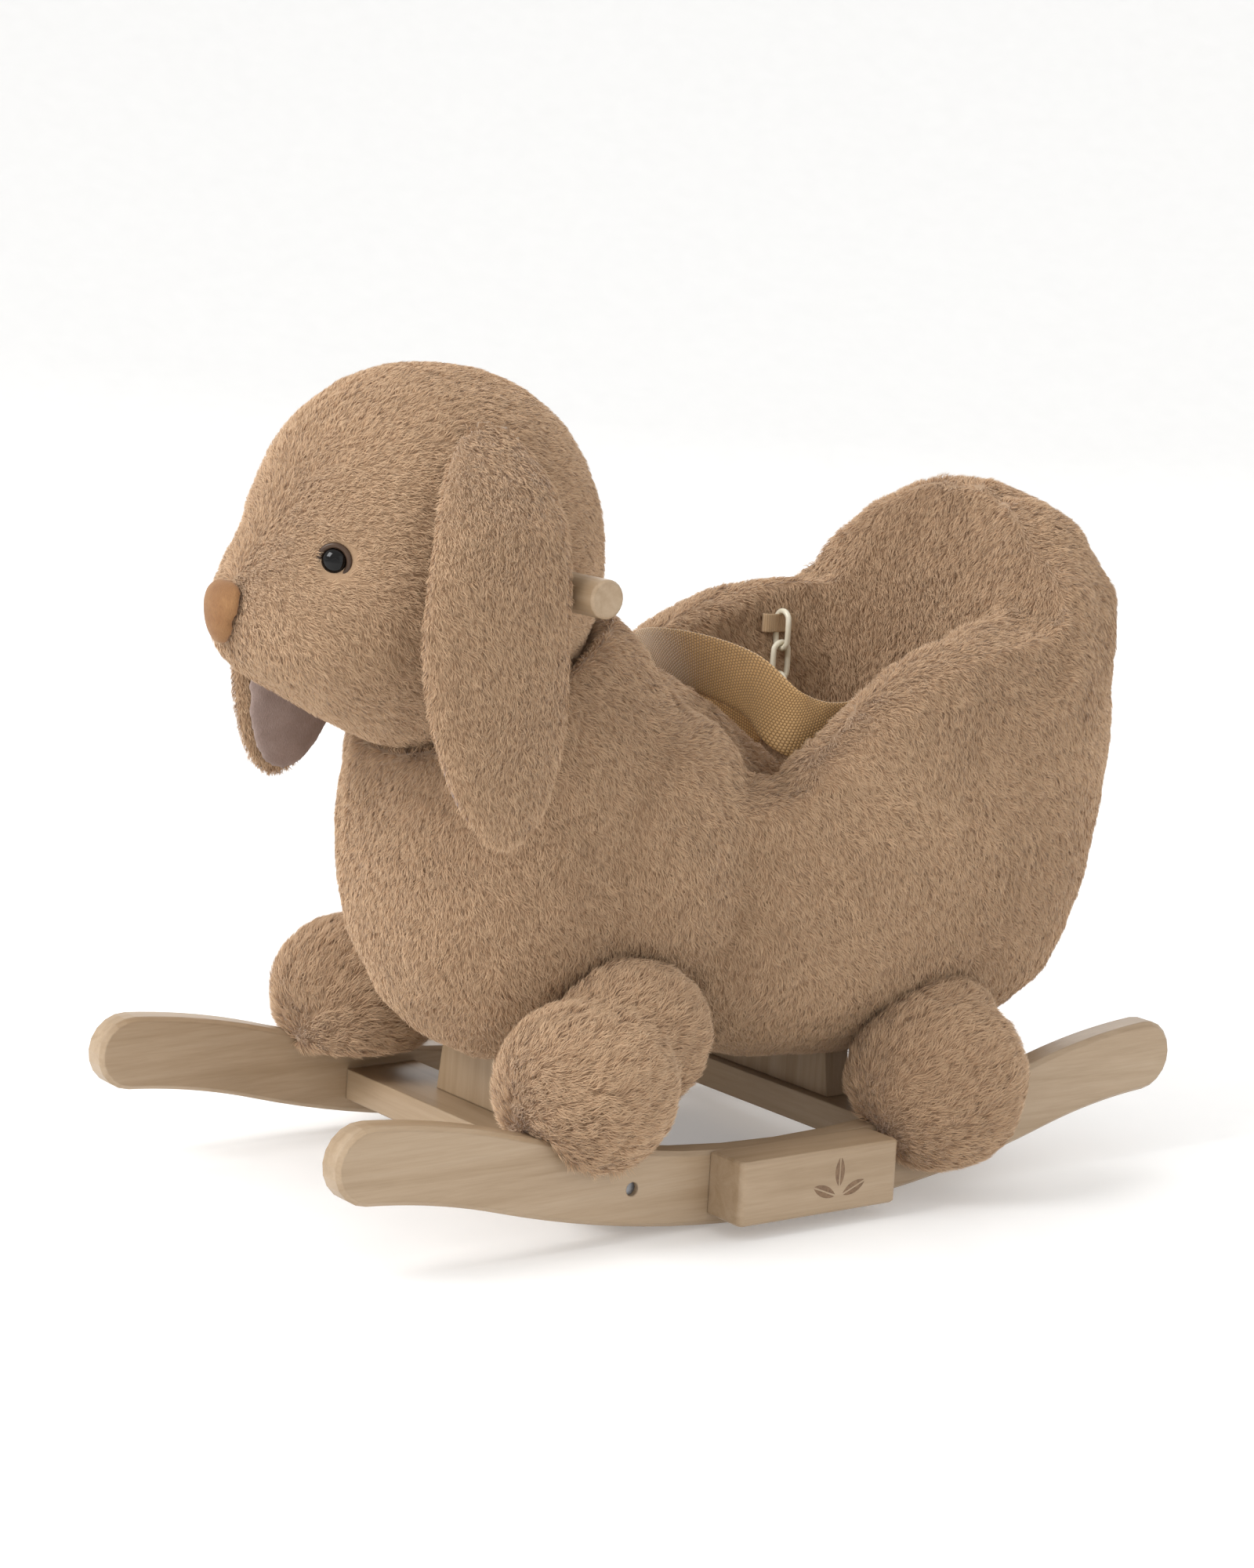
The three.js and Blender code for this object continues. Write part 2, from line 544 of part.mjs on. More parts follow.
// The walls seen from the side: a curved ramp, a level top and the step up to the backrest.
function wallSideProfile() {
  const outline = new THREE.Shape();
  const rear = WALL_OUTER.y + WALL_OUTER.b + OVERRUN;
  const start = SEAT_FLOOR + GAP;
  outline.moveTo(WALL_FRONT, start);
  outline.lineTo(WALL_FRONT, start + WALL_LIP);
  outline.lineTo(RAMP_FRONT, start + WALL_NOSE);
  outline.quadraticCurveTo(RAMP_FRONT + WALL_RAMP * WALL_BULGE, WALL_TOP - WALL_SAG,
    RAMP_FRONT + WALL_RAMP, WALL_TOP);
  outline.lineTo(BACK_SPLIT, WALL_TOP);
  outline.lineTo(BACK_SPLIT + BACK_LEAN, BACK_TOP + OVERRUN);
  outline.lineTo(rear - BACK_LEAN, BACK_TOP + OVERRUN);
  outline.lineTo(rear, WALL_TOP - BACK_LEAN);
  outline.lineTo(rear, start);
  return outline;
}

// The walls seen from the front: the level side walls and the round top of the backrest.
function wallFrontProfile() {
  const outline = new THREE.Shape();
  const half = WALL_OUTER.a + OVERRUN;
  outline.moveTo(-half, SEAT_FLOOR);
  outline.lineTo(half, SEAT_FLOOR);
  outline.lineTo(half, WALL_TOP - WALL_SHOULDER);
  outline.bezierCurveTo(half, WALL_TOP + BACK_LEAN, half / 2, BACK_TOP, 0, BACK_TOP);
  outline.bezierCurveTo(-half / 2, BACK_TOP, -half, WALL_TOP + BACK_LEAN, -half, WALL_TOP - WALL_SHOULDER);
  return outline;
}

function walls() {
  const plan = new THREE.Shape(superOutline(WALL_OUTER));
  plan.holes.push(new THREE.Path(superOutline(WALL_INNER)));
  const ring = extrude(plan, BACK_TOP, LEVEL);
  const width = 2 * WALL_OUTER.a + 4 * OVERRUN;
  const depth = 4 * WALL_OUTER.b;
  const fromSide = extrude(wallSideProfile(), width, SIDEWAYS).translate(-width / 2, 0, 0);
  const fromFront = extrude(wallFrontProfile(), depth, FORWARDS).translate(0, WALL_OUTER.y + depth / 2, 0);
  return cut(common(ring, fromSide, fromFront, puff(WALL_DOME)), neckRidge(), frameSpace(), puff(CHEST, GAP),
    puff(onSide(1, SHOULDER), GAP), puff(onSide(-1, SHOULDER), GAP));
}

const WALLS = walls();

function sideWall(side) {
  const half = side > 0 ? box(0, FAR, -FAR, BACK_SPLIT, 0, FAR) : box(-FAR, 0, -FAR, BACK_SPLIT, 0, FAR);
  return common(WALLS, half);
}

const backrest = () => common(WALLS, box(-FAR, FAR, BACK_SPLIT + GAP, FAR, 0, FAR));

// A paw sits on its rail and hangs over the rail's outer face.
function paw(side, foot, leg) {
  const lump = join(puff(onSide(side, foot)), puff(onSide(side, leg)));
  const faces = [side * (RAIL_OUTER + GAP), 0];
  const underRail = box(Math.min(...faces), Math.max(...faces), -FAR, FAR, -FAR, RAIL_WIDTH / 2);
  const footBlock = box(-FAR, FAR, -FOOTREST_LENGTH / 2 - GAP, FOOTREST_LENGTH / 2 + GAP, 0,
    FOOTREST_BOTTOM + FOOTREST_HEIGHT + GAP);
  return cut(lump, trunkSkin(GAP), frameSpace(), railSpace(side), underRail, footBlock,
    box(-RAIL_INNER - 2 * GAP, RAIL_INNER + 2 * GAP, -FAR, FAR, 0, RAIL_WIDTH + BOARD_THICKNESS));
}

// ---------------------------------------------------------------- belt
// An oval link in the (X, Y) plane: a torus pulled apart along Y.
function linkBlank() {
  const ring = new THREE.TorusGeometry((LINK_WIDTH - LINK_WIRE) / 2, LINK_WIRE / 2, 6, 12);
  const stretch = (LINK_LENGTH - LINK_WIDTH) / 2;
  return reshape(ring, (p) => { p.y += p.y > -LINK_WIRE / 100 ? stretch : -stretch; });
}

const BEND = (LINK_LENGTH - LINK_WIRE) / 2;
const LINK_PITCH = LINK_LENGTH - 2 * LINK_WIRE - LINK_PLAY;

function link(order) {
  const blank = linkBlank().applyMatrix4(UP_IS_Z);
  if (order % 2 === 1) blank.rotateZ(Math.PI / 2);
  return blank;
}

const linkDrop = (order) => -BEND - order * LINK_PITCH;
const CHAIN_LENGTH = -linkDrop(LINKS_PER_SIDE - 1) + BEND;

function chainEnd(name) {
  const tilt = CHAIN_TILT[name];
  return { y: CHAIN_AT.y - CHAIN_LENGTH * Math.sin(tilt), z: CHAIN_AT.z - CHAIN_LENGTH * Math.cos(tilt) };
}

// A ribbon loop round the top link's upper bend, with both tails led back to the seam.
function seamTab(side) {
  const inner = LINK_WIRE / 2 + TAB_PLAY;
  const outer = inner + TAB_THICKNESS;
  const tab = new THREE.Shape();
  tab.absarc(0, 0, outer, Math.PI / 2, 3 * Math.PI / 2, false);
  tab.lineTo(TAB_LENGTH, -outer);
  tab.lineTo(TAB_LENGTH, outer);
  const eyeHole = new THREE.Path();
  eyeHole.absarc(0, 0, inner, Math.PI / 2, 3 * Math.PI / 2, false);
  eyeHole.lineTo(inner * 2, -inner);
  eyeHole.lineTo(inner * 2, inner);
  tab.holes.push(eyeHole);
  const loop = extrude(tab, TAB_WIDTH, SIDEWAYS, 0, 6);
  loop.translate(side * CHAIN_AT.x - TAB_WIDTH / 2, CHAIN_AT.y, CHAIN_AT.z);
  const { a, b, ...rest } = WALL_INNER;
  const bucket = new THREE.Shape(superOutline({ ...rest, a: a - GAP, b: b - GAP }));
  return common(loop, extrude(bucket, BACK_TOP, LEVEL));
}

// The strap loops forward from one chain to the ridge behind the neck and back to the other chain.
function strapPath() {
  const end = (name, side) => [side * CHAIN_AT.x, chainEnd(name).y - STRAP_DROP, chainEnd(name).z - STRAP_SAG];
  const points = [end('right', -1), ...STRAP_BRANCH.right, STRAP_APEX,
    ...[...STRAP_BRANCH.left].reverse(), end('left', 1)];
  return new THREE.CatmullRomCurve3(points.map((p) => new THREE.Vector3(...p)), false, 'centripetal');
}

function strap() {
  const steps = 44;
  const path = strapPath();
  const band = new THREE.BoxGeometry(1, 1, 1, steps, 1, 1);
  return faceOut(reshape(band, (p) => {
    const share = p.x + 0.5;
    const middle = path.getPointAt(share);
    const along = path.getTangentAt(share);
    const lean = Math.sin(Math.PI * share) ** 12;
    const across = new THREE.Vector3(0, STRAP_LEAN.y * lean, 1 - (1 - STRAP_LEAN.z) * lean);
    across.addScaledVector(along, -across.dot(along)).normalize();
    const normal = new THREE.Vector3().crossVectors(along, across);
    middle.addScaledVector(across, p.y * STRAP_WIDTH).addScaledVector(normal, p.z * STRAP_THICKNESS);
    p.copy(middle);
  }));
}

// A stitched ribbon loop that joins the strap's end to the last link.
function strapTab(name, side) {
  const inner = LINK_WIRE / 2 + TAB_PLAY;
  const outer = inner + TAB_THICKNESS;
  const tab = new THREE.Shape();
  tab.absarc(0, 0, outer, -Math.PI / 2, Math.PI / 2, false);
  tab.lineTo(-STRAP_DROP + outer, outer);
  tab.lineTo(-STRAP_DROP + outer, -outer);
  const eyeHole = new THREE.Path();
  eyeHole.absarc(0, 0, inner, -Math.PI / 2, Math.PI / 2, false);
  eyeHole.lineTo(-inner * 1.4, inner);
  eyeHole.lineTo(-inner * 1.4, -inner);
  tab.holes.push(eyeHole);
  return extrude(tab, TAB_WIDTH, SIDEWAYS, 0, 6)
    .translate(side * CHAIN_AT.x - TAB_WIDTH / 2, chainEnd(name).y, chainEnd(name).z);
}

// ---------------------------------------------------------------- assembly
const rocker = new THREE.Group();

function add(name, geometry, material, parent = rocker) {
  const mesh = new THREE.Mesh(geometry, material);
  mesh.name = name;
  parent.add(mesh);
  return mesh;
}

for (const [end, along] of ENDS) {
  add(`crossbar_${end}`, crossbar(along), BEECH);
  add(`post_${end}`, post(along), BEECH);
}
for (const [name, side] of SIDES) {
  add(`rail_${name}`, rail(side), BEECH);
  add(`footrest_${name}`, footrest(side), BEECH);
  for (const [end, along] of ENDS) {
    add(`rail_bolt_${end}_${name}`, boltAt(side, along), STEEL);
    add(`footrest_screw_${end}_${name}`, screwAt(side, along), STEEL);
  }
}
add('seat_base_board', baseBoard(), PLYWOOD);
add('neck_board', cut(neckBoard(), handle(GAP)), PLYWOOD);
add('back_board', backBoard(), PLYWOOD);
add('handle_dowel', handle(), BEECH);

add('torso', torso(), PLUSH);
add('backrest', backrest(), PLUSH);
add('head', head(), PLUSH);
add('nose', nose(), NOSE_VELOUR);
for (const [name, side] of SIDES) {
  add(`side_board_${name}`, sideBoard(side), PLYWOOD);
  add(`side_wall_${name}`, sideWall(side), PLUSH);
  add(`paw_front_${name}`, paw(side, FRONT_PAW, FRONT_LEG), PLUSH);
  add(`paw_rear_${name}`, paw(side, REAR_PAW, REAR_LEG), PLUSH);
  add(`ear_${name}`, ear(side), PLUSH);
  add(`ear_lining_${name}`, earLining(side), LINING);
  add(`eye_${name}`, eye(side), EYE_GLOSS);
  add(`eye_rim_${name}`, eyeRim(side), RIM_BROWN);
  add(`eye_washer_${name}`, eyeWasher(side), RIM_BROWN);
  add(`seam_tab_${name}`, seamTab(side), RIBBON);
  add(`strap_tab_${name}`, strapTab(name, side), RIBBON);
  const chain = new THREE.Group();
  chain.position.set(side * CHAIN_AT.x, CHAIN_AT.y, CHAIN_AT.z);
  chain.rotation.x = -CHAIN_TILT[name];
  for (let order = 0; order < LINKS_PER_SIDE; order += 1) {
    add(`chain_link_${name}_${order + 1}`, link(order), IVORY, chain).position.z = linkDrop(order);
  }
  rocker.add(chain);
}
add('belt_strap', strap(), WEBBING);

export default rocker;
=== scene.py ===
"""Dresses a plush bunny rocker: a stuffed lop-eared rabbit seat on a wooden frame with two curved rails.

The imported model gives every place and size. The wooden pieces keep their shapes and get a lacquered grain.
The stuffed pieces become soft skins with a coat of short strands, and the belt becomes woven webbing.
Metres, +Z up, the rabbit looks along -Y and its left side is +X.
"""

from __future__ import annotations

import logging
import math
from collections.abc import Callable, Sequence
from dataclasses import dataclass, field
from enum import Enum

import bmesh
import bpy
import numpy as np
from mathutils import Matrix, Vector, noise
from mathutils.bvhtree import BVHTree


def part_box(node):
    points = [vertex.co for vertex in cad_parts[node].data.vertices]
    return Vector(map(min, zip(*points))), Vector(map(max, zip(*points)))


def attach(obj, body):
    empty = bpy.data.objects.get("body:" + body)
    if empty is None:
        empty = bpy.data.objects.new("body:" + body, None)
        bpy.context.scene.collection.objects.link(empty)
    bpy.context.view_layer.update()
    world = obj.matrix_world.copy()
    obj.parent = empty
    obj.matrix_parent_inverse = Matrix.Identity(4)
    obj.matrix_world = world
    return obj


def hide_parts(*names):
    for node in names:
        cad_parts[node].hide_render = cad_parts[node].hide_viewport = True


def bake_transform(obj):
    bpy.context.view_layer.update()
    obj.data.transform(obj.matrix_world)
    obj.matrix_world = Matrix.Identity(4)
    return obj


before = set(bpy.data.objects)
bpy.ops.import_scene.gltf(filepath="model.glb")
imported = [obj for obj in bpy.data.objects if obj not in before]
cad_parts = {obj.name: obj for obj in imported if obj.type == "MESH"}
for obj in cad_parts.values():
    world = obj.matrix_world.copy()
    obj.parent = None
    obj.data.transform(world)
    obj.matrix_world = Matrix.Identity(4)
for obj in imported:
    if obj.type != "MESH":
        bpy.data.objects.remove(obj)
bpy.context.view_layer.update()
LOG = logging.getLogger("rocker")
MM = 0.001
Colour = tuple[float, float, float]
Wire = bpy.types.NodeSocket
Flow = Callable[[np.ndarray, np.ndarray], np.ndarray]


class Side(Enum):
    """The rabbit's two sides, as the sign of X."""

    LEFT = 1
    RIGHT = -1

    @property
    def word(self) -> str:
        """The side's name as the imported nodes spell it."""
        return self.name.lower()


class Socket(Enum):
    """Principled shader inputs that the finishes set."""

    COLOUR = "Base Color"
    ROUGHNESS = "Roughness"
    METAL = "Metallic"
    NORMAL = "Normal"
    SHEEN = "Sheen Weight"
    SHEEN_ROUGHNESS = "Sheen Roughness"
    COAT = "Coat Weight"
    COAT_ROUGHNESS = "Coat Roughness"
    SPECULAR = "Specular IOR Level"
    GLOW = "Emission Color"
    GLOW_STRENGTH = "Emission Strength"


# ---------------------------------------------------------------- finishes
class Shader:
    """One material's node tree, built up by short calls."""

    def __init__(self, name: str) -> None:
        """Starts a material with a plain principled shader.

        Args:
            name: The material's name.
        """
        self.material = bpy.data.materials.new(name)
        self.material.use_nodes = True
        self.nodes = self.material.node_tree.nodes
        self.links = self.material.node_tree.links
        self.surface = self.nodes["Principled BSDF"]

    def add(self, kind: str, inputs: dict | None = None, **settings: object) -> bpy.types.Node:
        """Adds a node.

        Args:
            kind: The node's type without its ShaderNode prefix.
            inputs: Values or output sockets by input name or index.
            settings: Attributes of the node.

        Returns:
            The new node.
        """
        node = self.nodes.new("ShaderNode" + kind)
        for key, value in settings.items():
            setattr(node, key, value)
        for key, value in (inputs or {}).items():
            self.feed(node.inputs[key], value)
        return node

    def feed(self, socket: bpy.types.NodeSocket, value: object) -> None:
        """Sets or links one input socket."""
        if isinstance(value, bpy.types.NodeSocket):
            self.links.new(value, socket)
        elif isinstance(value, tuple) and len(value) == 3 and socket.type == "RGBA":
            socket.default_value = (*value, 1.0)
        else:
            socket.default_value = value

    def set(self, values: dict[Socket, object]) -> None:
        """Sets or links the principled shader's inputs."""
        for socket, value in values.items():
            self.feed(self.surface.inputs[socket.value], value)

    def place(self, scale: Sequence[float], turn: Sequence[float] = (0, 0, 0)) -> Wire:
        """Object coordinates, turned and then scaled per metre.

        Args:
            scale: Features per metre along X, Y and Z.
            turn: Rotation in degrees about X, Y and Z.

        Returns:
            The vector socket.
        """
        where = self.add("TexCoord").outputs["Object"]
        turned = self.add("Mapping", {"Vector": where, "Rotation": [math.radians(a) for a in turn]})
        return self.add("Mapping", {"Vector": turned.outputs[0], "Scale": list(scale)}).outputs[0]

    def cloud(self, vector: Wire, scale: float, detail: float = 4,
              rough: float = 0.55, distort: float = 0) -> Wire:
        """Fractal noise between 0 and 1."""
        return self.add("TexNoise", {"Vector": vector, "Scale": scale, "Detail": detail, "Roughness": rough,
                                     "Distortion": distort}).outputs[0]

    def ramp(self, factor: Wire, stops: Sequence[tuple[float, Colour]]) -> Wire:
        """Colours along a factor.

        Args:
            factor: The socket that drives the ramp.
            stops: Positions and linear colours, two or more.

        Returns:
            The colour socket.
        """
        node = self.add("ValToRGB", {"Fac": factor})
        bar = node.color_ramp.elements
        while len(bar) < len(stops):
            bar.new(0.5)
        for element, (at, colour) in zip(bar, stops):
            element.position = at
            element.color = (*colour, 1)
        return node.outputs[0]

    def maths(self, kind: str, a: object, b: object = 0.0, clamp: bool = False) -> Wire:
        """One arithmetic step on two values."""
        return self.add("Math", {0: a, 1: b}, operation=kind, use_clamp=clamp).outputs[0]

    def blend(self, kind: str, share: object, a: object, b: object) -> Wire:
        """Mixes colour b into colour a."""
        node = self.add("Mix", data_type="RGBA", blend_type=kind)
        for socket, value in ((node.inputs[0], share), (node.inputs[6], a), (node.inputs[7], b)):
            self.feed(socket, value)
        return node.outputs[2]

    def bump(self, height: object, depth: float, strength: float = 1.0,
             under: Wire | None = None) -> Wire:
        """A normal raised by a height.

        Args:
            height: The height socket, from 0 to 1.
            depth: What a height of 1 stands for, in metres.
            strength: How much of the bump shows.
            under: A normal to build on.

        Returns:
            The normal socket.
        """
        inputs = {"Height": height, "Distance": depth, "Strength": strength}
        if under:
            inputs["Normal"] = under
        return self.add("Bump", inputs).outputs[0]


def linear(red: int, green: int, blue: int) -> Colour:
    """A colour given in 8-bit display values, as scene-linear values."""
    def one(value: int) -> float:
        share = value / 255
        return share / 12.92 if share <= 0.04045 else ((share + 0.055) / 1.055) ** 2.4
    return one(red), one(green), one(blue)


class Axis(Enum):
    """The way that a board's grain runs, as stretches of the grain noise along X, Y and Z."""

    X = (0.05, 1.0, 1.0)
    Y = (1.0, 0.05, 1.0)
    Z = (1.0, 1.0, 0.05)


@dataclass(frozen=True)
class Wood:
    """Pale hardwood under clear satin lacquer."""

    grain: Axis
    light: Colour = linear(174, 151, 124)
    deep: Colour = linear(158, 134, 105)
    edge: float = 1.6 * MM

    def shader(self, name: str) -> Shader:
        """Builds the grain, the pores and the softened edges.

        Args:
            name: The material's name.

        Returns:
            The shader, open for more nodes.
        """
        s = Shader(name)
        along = s.place([stretch * 60 for stretch in self.grain.value])
        sway = s.cloud(s.place([stretch * 16 for stretch in self.grain.value]), 1, 2)
        figure = s.cloud(along, 1.0, 6, 0.6, 1.4)
        fibres = s.cloud(s.place([stretch * 700 for stretch in self.grain.value]), 1, 3, 0.7)
        base = s.ramp(figure, [(0.3, self.deep), (0.55, self.light), (0.8, linear(182, 161, 136))])
        streaks = s.ramp(fibres, [(0.35, (0.80, 0.76, 0.70)), (0.6, (1, 1, 1))])
        base = s.blend("MULTIPLY", 0.35, base, streaks)
        base = s.blend("MULTIPLY", 0.35, base, s.ramp(sway, [(0.3, (0.86, 0.80, 0.70)), (0.7, (1, 1, 1))]))
        eased = s.add("Bevel", {"Radius": self.edge}, samples=4).outputs[0]
        normal = s.bump(fibres, 0.12 * MM, 0.35, eased)
        s.set({Socket.COLOUR: base, Socket.ROUGHNESS: s.maths("MULTIPLY_ADD", fibres, 0.2),
               Socket.COAT: 0.15, Socket.COAT_ROUGHNESS: 0.35, Socket.NORMAL: normal})
        s.surface.inputs["Roughness"].links[0].from_node.inputs[2].default_value = 0.36
        return s


@dataclass(frozen=True)
class Fur:
    """The short pile's colours, shared by the strands and the skin below them."""

    root: Colour = linear(150, 116, 84)
    middle: Colour = linear(192, 157, 122)
    tip: Colour = linear(213, 183, 149)

    def strands(self) -> bpy.types.Material:
        """Strand colour: u is the strand's shade and v runs from its root to its tip."""
        s = Shader("plush_strands")
        uv = s.add("SeparateXYZ", {0: s.add("UVMap", uv_map="OFBake").outputs[0]})
        along = s.ramp(uv.outputs[1], [(0.0, self.root), (0.4, self.middle), (1.0, self.tip)])
        shade = s.ramp(uv.outputs[0], [(0.0, (0.80, 0.76, 0.72)), (0.5, (0.97, 0.96, 0.95)),
                                       (1.0, (1.08, 1.09, 1.1))])
        s.set({Socket.COLOUR: s.blend("MULTIPLY", 1.0, along, shade), Socket.ROUGHNESS: 0.7,
               Socket.SHEEN: 0.3, Socket.SHEEN_ROUGHNESS: 0.5})
        return s.material

    def skin(self) -> bpy.types.Material:
        """The woven backing with the roots' shade, seen only between strands."""
        s = Shader("plush_backing")
        patches = s.cloud(s.place((1, 1, 1)), 40, 5)
        fine = s.cloud(s.place((1, 1, 1)), 900, 2, 0.7)
        base = s.ramp(patches, [(0.3, linear(162, 132, 101)), (0.7, linear(180, 149, 118))])
        base = s.blend("MULTIPLY", 0.5, base, s.ramp(fine, [(0.3, (0.7, 0.67, 0.64)), (0.7, (1, 1, 1))]))
        s.set({Socket.COLOUR: base, Socket.ROUGHNESS: 0.9, Socket.SHEEN: 0.3,
               Socket.NORMAL: s.bump(fine, 0.6 * MM, 0.8)})
        return s.material


@dataclass(frozen=True)
class Pile:
    """A short velvet or velour."""

    name: str
    low: Colour
    high: Colour
    sheen: float = 0.12

    def material(self) -> bpy.types.Material:
        """Mottled velvet with a fine nap."""
        s = Shader(self.name)
        nap = s.cloud(s.place((1, 1, 0.35)), 1500, 2, 0.8)
        mottle = s.cloud(s.place((1, 1, 1)), 90, 4)
        base = s.ramp(mottle, [(0.3, self.low), (0.7, self.high)])
        base = s.blend("MULTIPLY", 0.5, base, s.ramp(nap, [(0.3, (0.62, 0.6, 0.58)), (0.7, (1.1, 1.1, 1.1))]))
        s.set({Socket.COLOUR: base, Socket.ROUGHNESS: 0.85, Socket.SHEEN: self.sheen,
               Socket.SHEEN_ROUGHNESS: 0.45,
               Socket.NORMAL: s.bump(nap, 0.35 * MM, 0.9)})
        return s.material


@dataclass(frozen=True)
class Weave:
    """Woven band: its map runs from 0 to 1 across and along, and holds whole counts of yarns."""

    name: str
    # low is painted shade in the hollows between yarns; high is the colour on the yarns' crowns.
    low: Colour
    high: Colour
    across: int
    along: int
    shine: float = 0.4

    def material(self) -> bpy.types.Material:
        """A plain weave of two crossed sets of rounded yarns, offset row by row, with painted shade in the
        hollows between them.
        """
        s = Shader(self.name)
        uv = s.add("SeparateXYZ", {0: s.add("UVMap", uv_map="OFBake").outputs[0]})
        col = s.maths("MULTIPLY", uv.outputs[0], math.pi * self.across)
        row = s.maths("MULTIPLY", uv.outputs[1], math.pi * self.along)
        odd = s.maths("MULTIPLY", s.maths("FLOOR", s.maths("DIVIDE", row, math.pi)), math.pi / 2)
        warp = s.maths("ABSOLUTE", s.maths("SINE", s.maths("ADD", col, odd)))
        weft = s.maths("ABSOLUTE", s.maths("SINE", row))
        yarn = s.maths("MULTIPLY", s.maths("POWER", warp, 0.6), s.maths("POWER", weft, 0.6))
        fray = s.cloud(s.place((1, 1, 1)), 2600, 2)
        wear = s.cloud(s.place((1, 1, 1)), 60, 3)
        height = s.maths("MULTIPLY_ADD", yarn, 0.85)
        s.feed(s.nodes[-1].inputs[2], s.maths("MULTIPLY", fray, 0.15))
        # Painted shade: the colour darkens from the yarns' crowns towards the hollows between them.
        base = s.ramp(height, [(0.1, self.low), (0.75, self.high)])
        dull = s.ramp(wear, [(0.3, (0.8, 0.78, 0.74)), (0.7, (1.05, 1.05, 1.05))])
        base = s.blend("MULTIPLY", 0.35, base, dull)
        s.set({Socket.COLOUR: base, Socket.ROUGHNESS: self.shine, Socket.SHEEN: 0.2,
               Socket.NORMAL: s.bump(height, 0.5 * MM, 0.9)})
        return s.material


@dataclass(frozen=True)
class Moulded:
    """A moulded or turned hard finish with faint ripple and handling marks."""

    name: str
    low: Colour
    high: Colour
    rough: float
    metal: float = 0.0
    coat: float = 0.0
    shine: float = 0.5

    def material(self) -> bpy.types.Material:
        """Slight colour drift, smudges in the gloss and a shallow ripple."""
        s = Shader(self.name)
        drift = s.cloud(s.place((1, 1, 1)), 120, 4)
        marks = s.cloud(s.place((1, 1, 0.3)), 900, 3, 0.7)
        gloss = s.maths("MULTIPLY_ADD", marks, 0.3 * self.rough)
        s.nodes[-1].inputs[2].default_value = self.rough
        s.set({Socket.COLOUR: s.ramp(drift, [(0.3, self.low), (0.7, self.high)]), Socket.ROUGHNESS: gloss,
               Socket.METAL: self.metal, Socket.COAT: self.coat, Socket.COAT_ROUGHNESS: 0.06,
               Socket.SPECULAR: self.shine,
               Socket.NORMAL: s.bump(drift, 0.2 * MM, 0.3)})
        return s.material


# ---------------------------------------------------------------- mesh work
def new_object(name: str, mesh: bpy.types.Mesh,
               material: bpy.types.Material | None = None) -> bpy.types.Object:
    """Links a mesh to the scene as a named object.

    Args:
        name: The object's name.
        mesh: Its mesh, which takes the same name.
        material: Its finish, if it has one yet.

    Returns:
        The object.
    """
    mesh.name = name
    thing = bpy.data.objects.new(name, mesh)
    bpy.context.scene.collection.objects.link(thing)
    if material:
        mesh.materials.clear()
        mesh.materials.append(material)
    return thing


def from_bmesh(name: str, bm: bmesh.types.BMesh, material: bpy.types.Material | None = None,
               smooth: bool = True) -> bpy.types.Object:
    """Turns a bmesh into a named object and frees it."""
    mesh = bpy.data.meshes.new(name)
    bm.to_mesh(mesh)
    bm.free()
    mesh.polygons.foreach_set("use_smooth", [smooth] * len(mesh.polygons))
    return new_object(name, mesh, material)


def baked(thing: bpy.types.Object) -> bpy.types.Object:
    """Applies an object's modifiers to its mesh."""
    graph = bpy.context.evaluated_depsgraph_get()
    mesh = bpy.data.meshes.new_from_object(thing.evaluated_get(graph))
    old = thing.data
    thing.modifiers.clear()
    thing.data = mesh
    bpy.data.meshes.remove(old)
    return thing


def corners(mesh: bpy.types.Mesh) -> np.ndarray:
    """A mesh's vertices as rows."""
    flat = np.empty(len(mesh.vertices) * 3)
    mesh.vertices.foreach_get("co", flat)
    return flat.reshape(-1, 3)


def normals(mesh: bpy.types.Mesh) -> np.ndarray:
    """A mesh's vertex normals as rows."""
    flat = np.empty(len(mesh.vertices) * 3)
    mesh.vertex_normals.foreach_get("vector", flat)
    return flat.reshape(-1, 3)


def reshape(thing: bpy.types.Object, places: np.ndarray) -> None:
    """Moves a mesh's vertices to new places."""
    thing.data.vertices.foreach_set("co", places.ravel())
    thing.data.update()


def rumple(places: np.ndarray, size: float, seed: float) -> np.ndarray:
    """Smooth noise from -1 to 1 at each place, with features of the given size."""
    shift = Vector((seed, seed * 1.7, seed * 2.3))
    return np.array([noise.noise(Vector(p) / size + shift) for p in places])


def largest_part(thing: bpy.types.Object) -> None:
    """Deletes all but the biggest connected part of a mesh, which drops sealed inner walls."""
    bm = bmesh.new()
    bm.from_mesh(thing.data)
    left = set(bm.verts)
    parts = []
    while left:
        queue = [left.pop()]
        part = set(queue)
        while queue:
            for edge in queue.pop().link_edges:
                for vertex in edge.verts:
                    if vertex in left:
                        left.discard(vertex)
                        part.add(vertex)
                        queue.append(vertex)
        parts.append(part)
    best = max(parts, key=lambda p: max(v.co.z for v in p) - min(v.co.z for v in p) + len(p) * 1e-9)
    bmesh.ops.delete(bm, geom=[v for p in parts if p is not best for v in p], context="VERTS")
    bm.to_mesh(thing.data)
    bm.free()


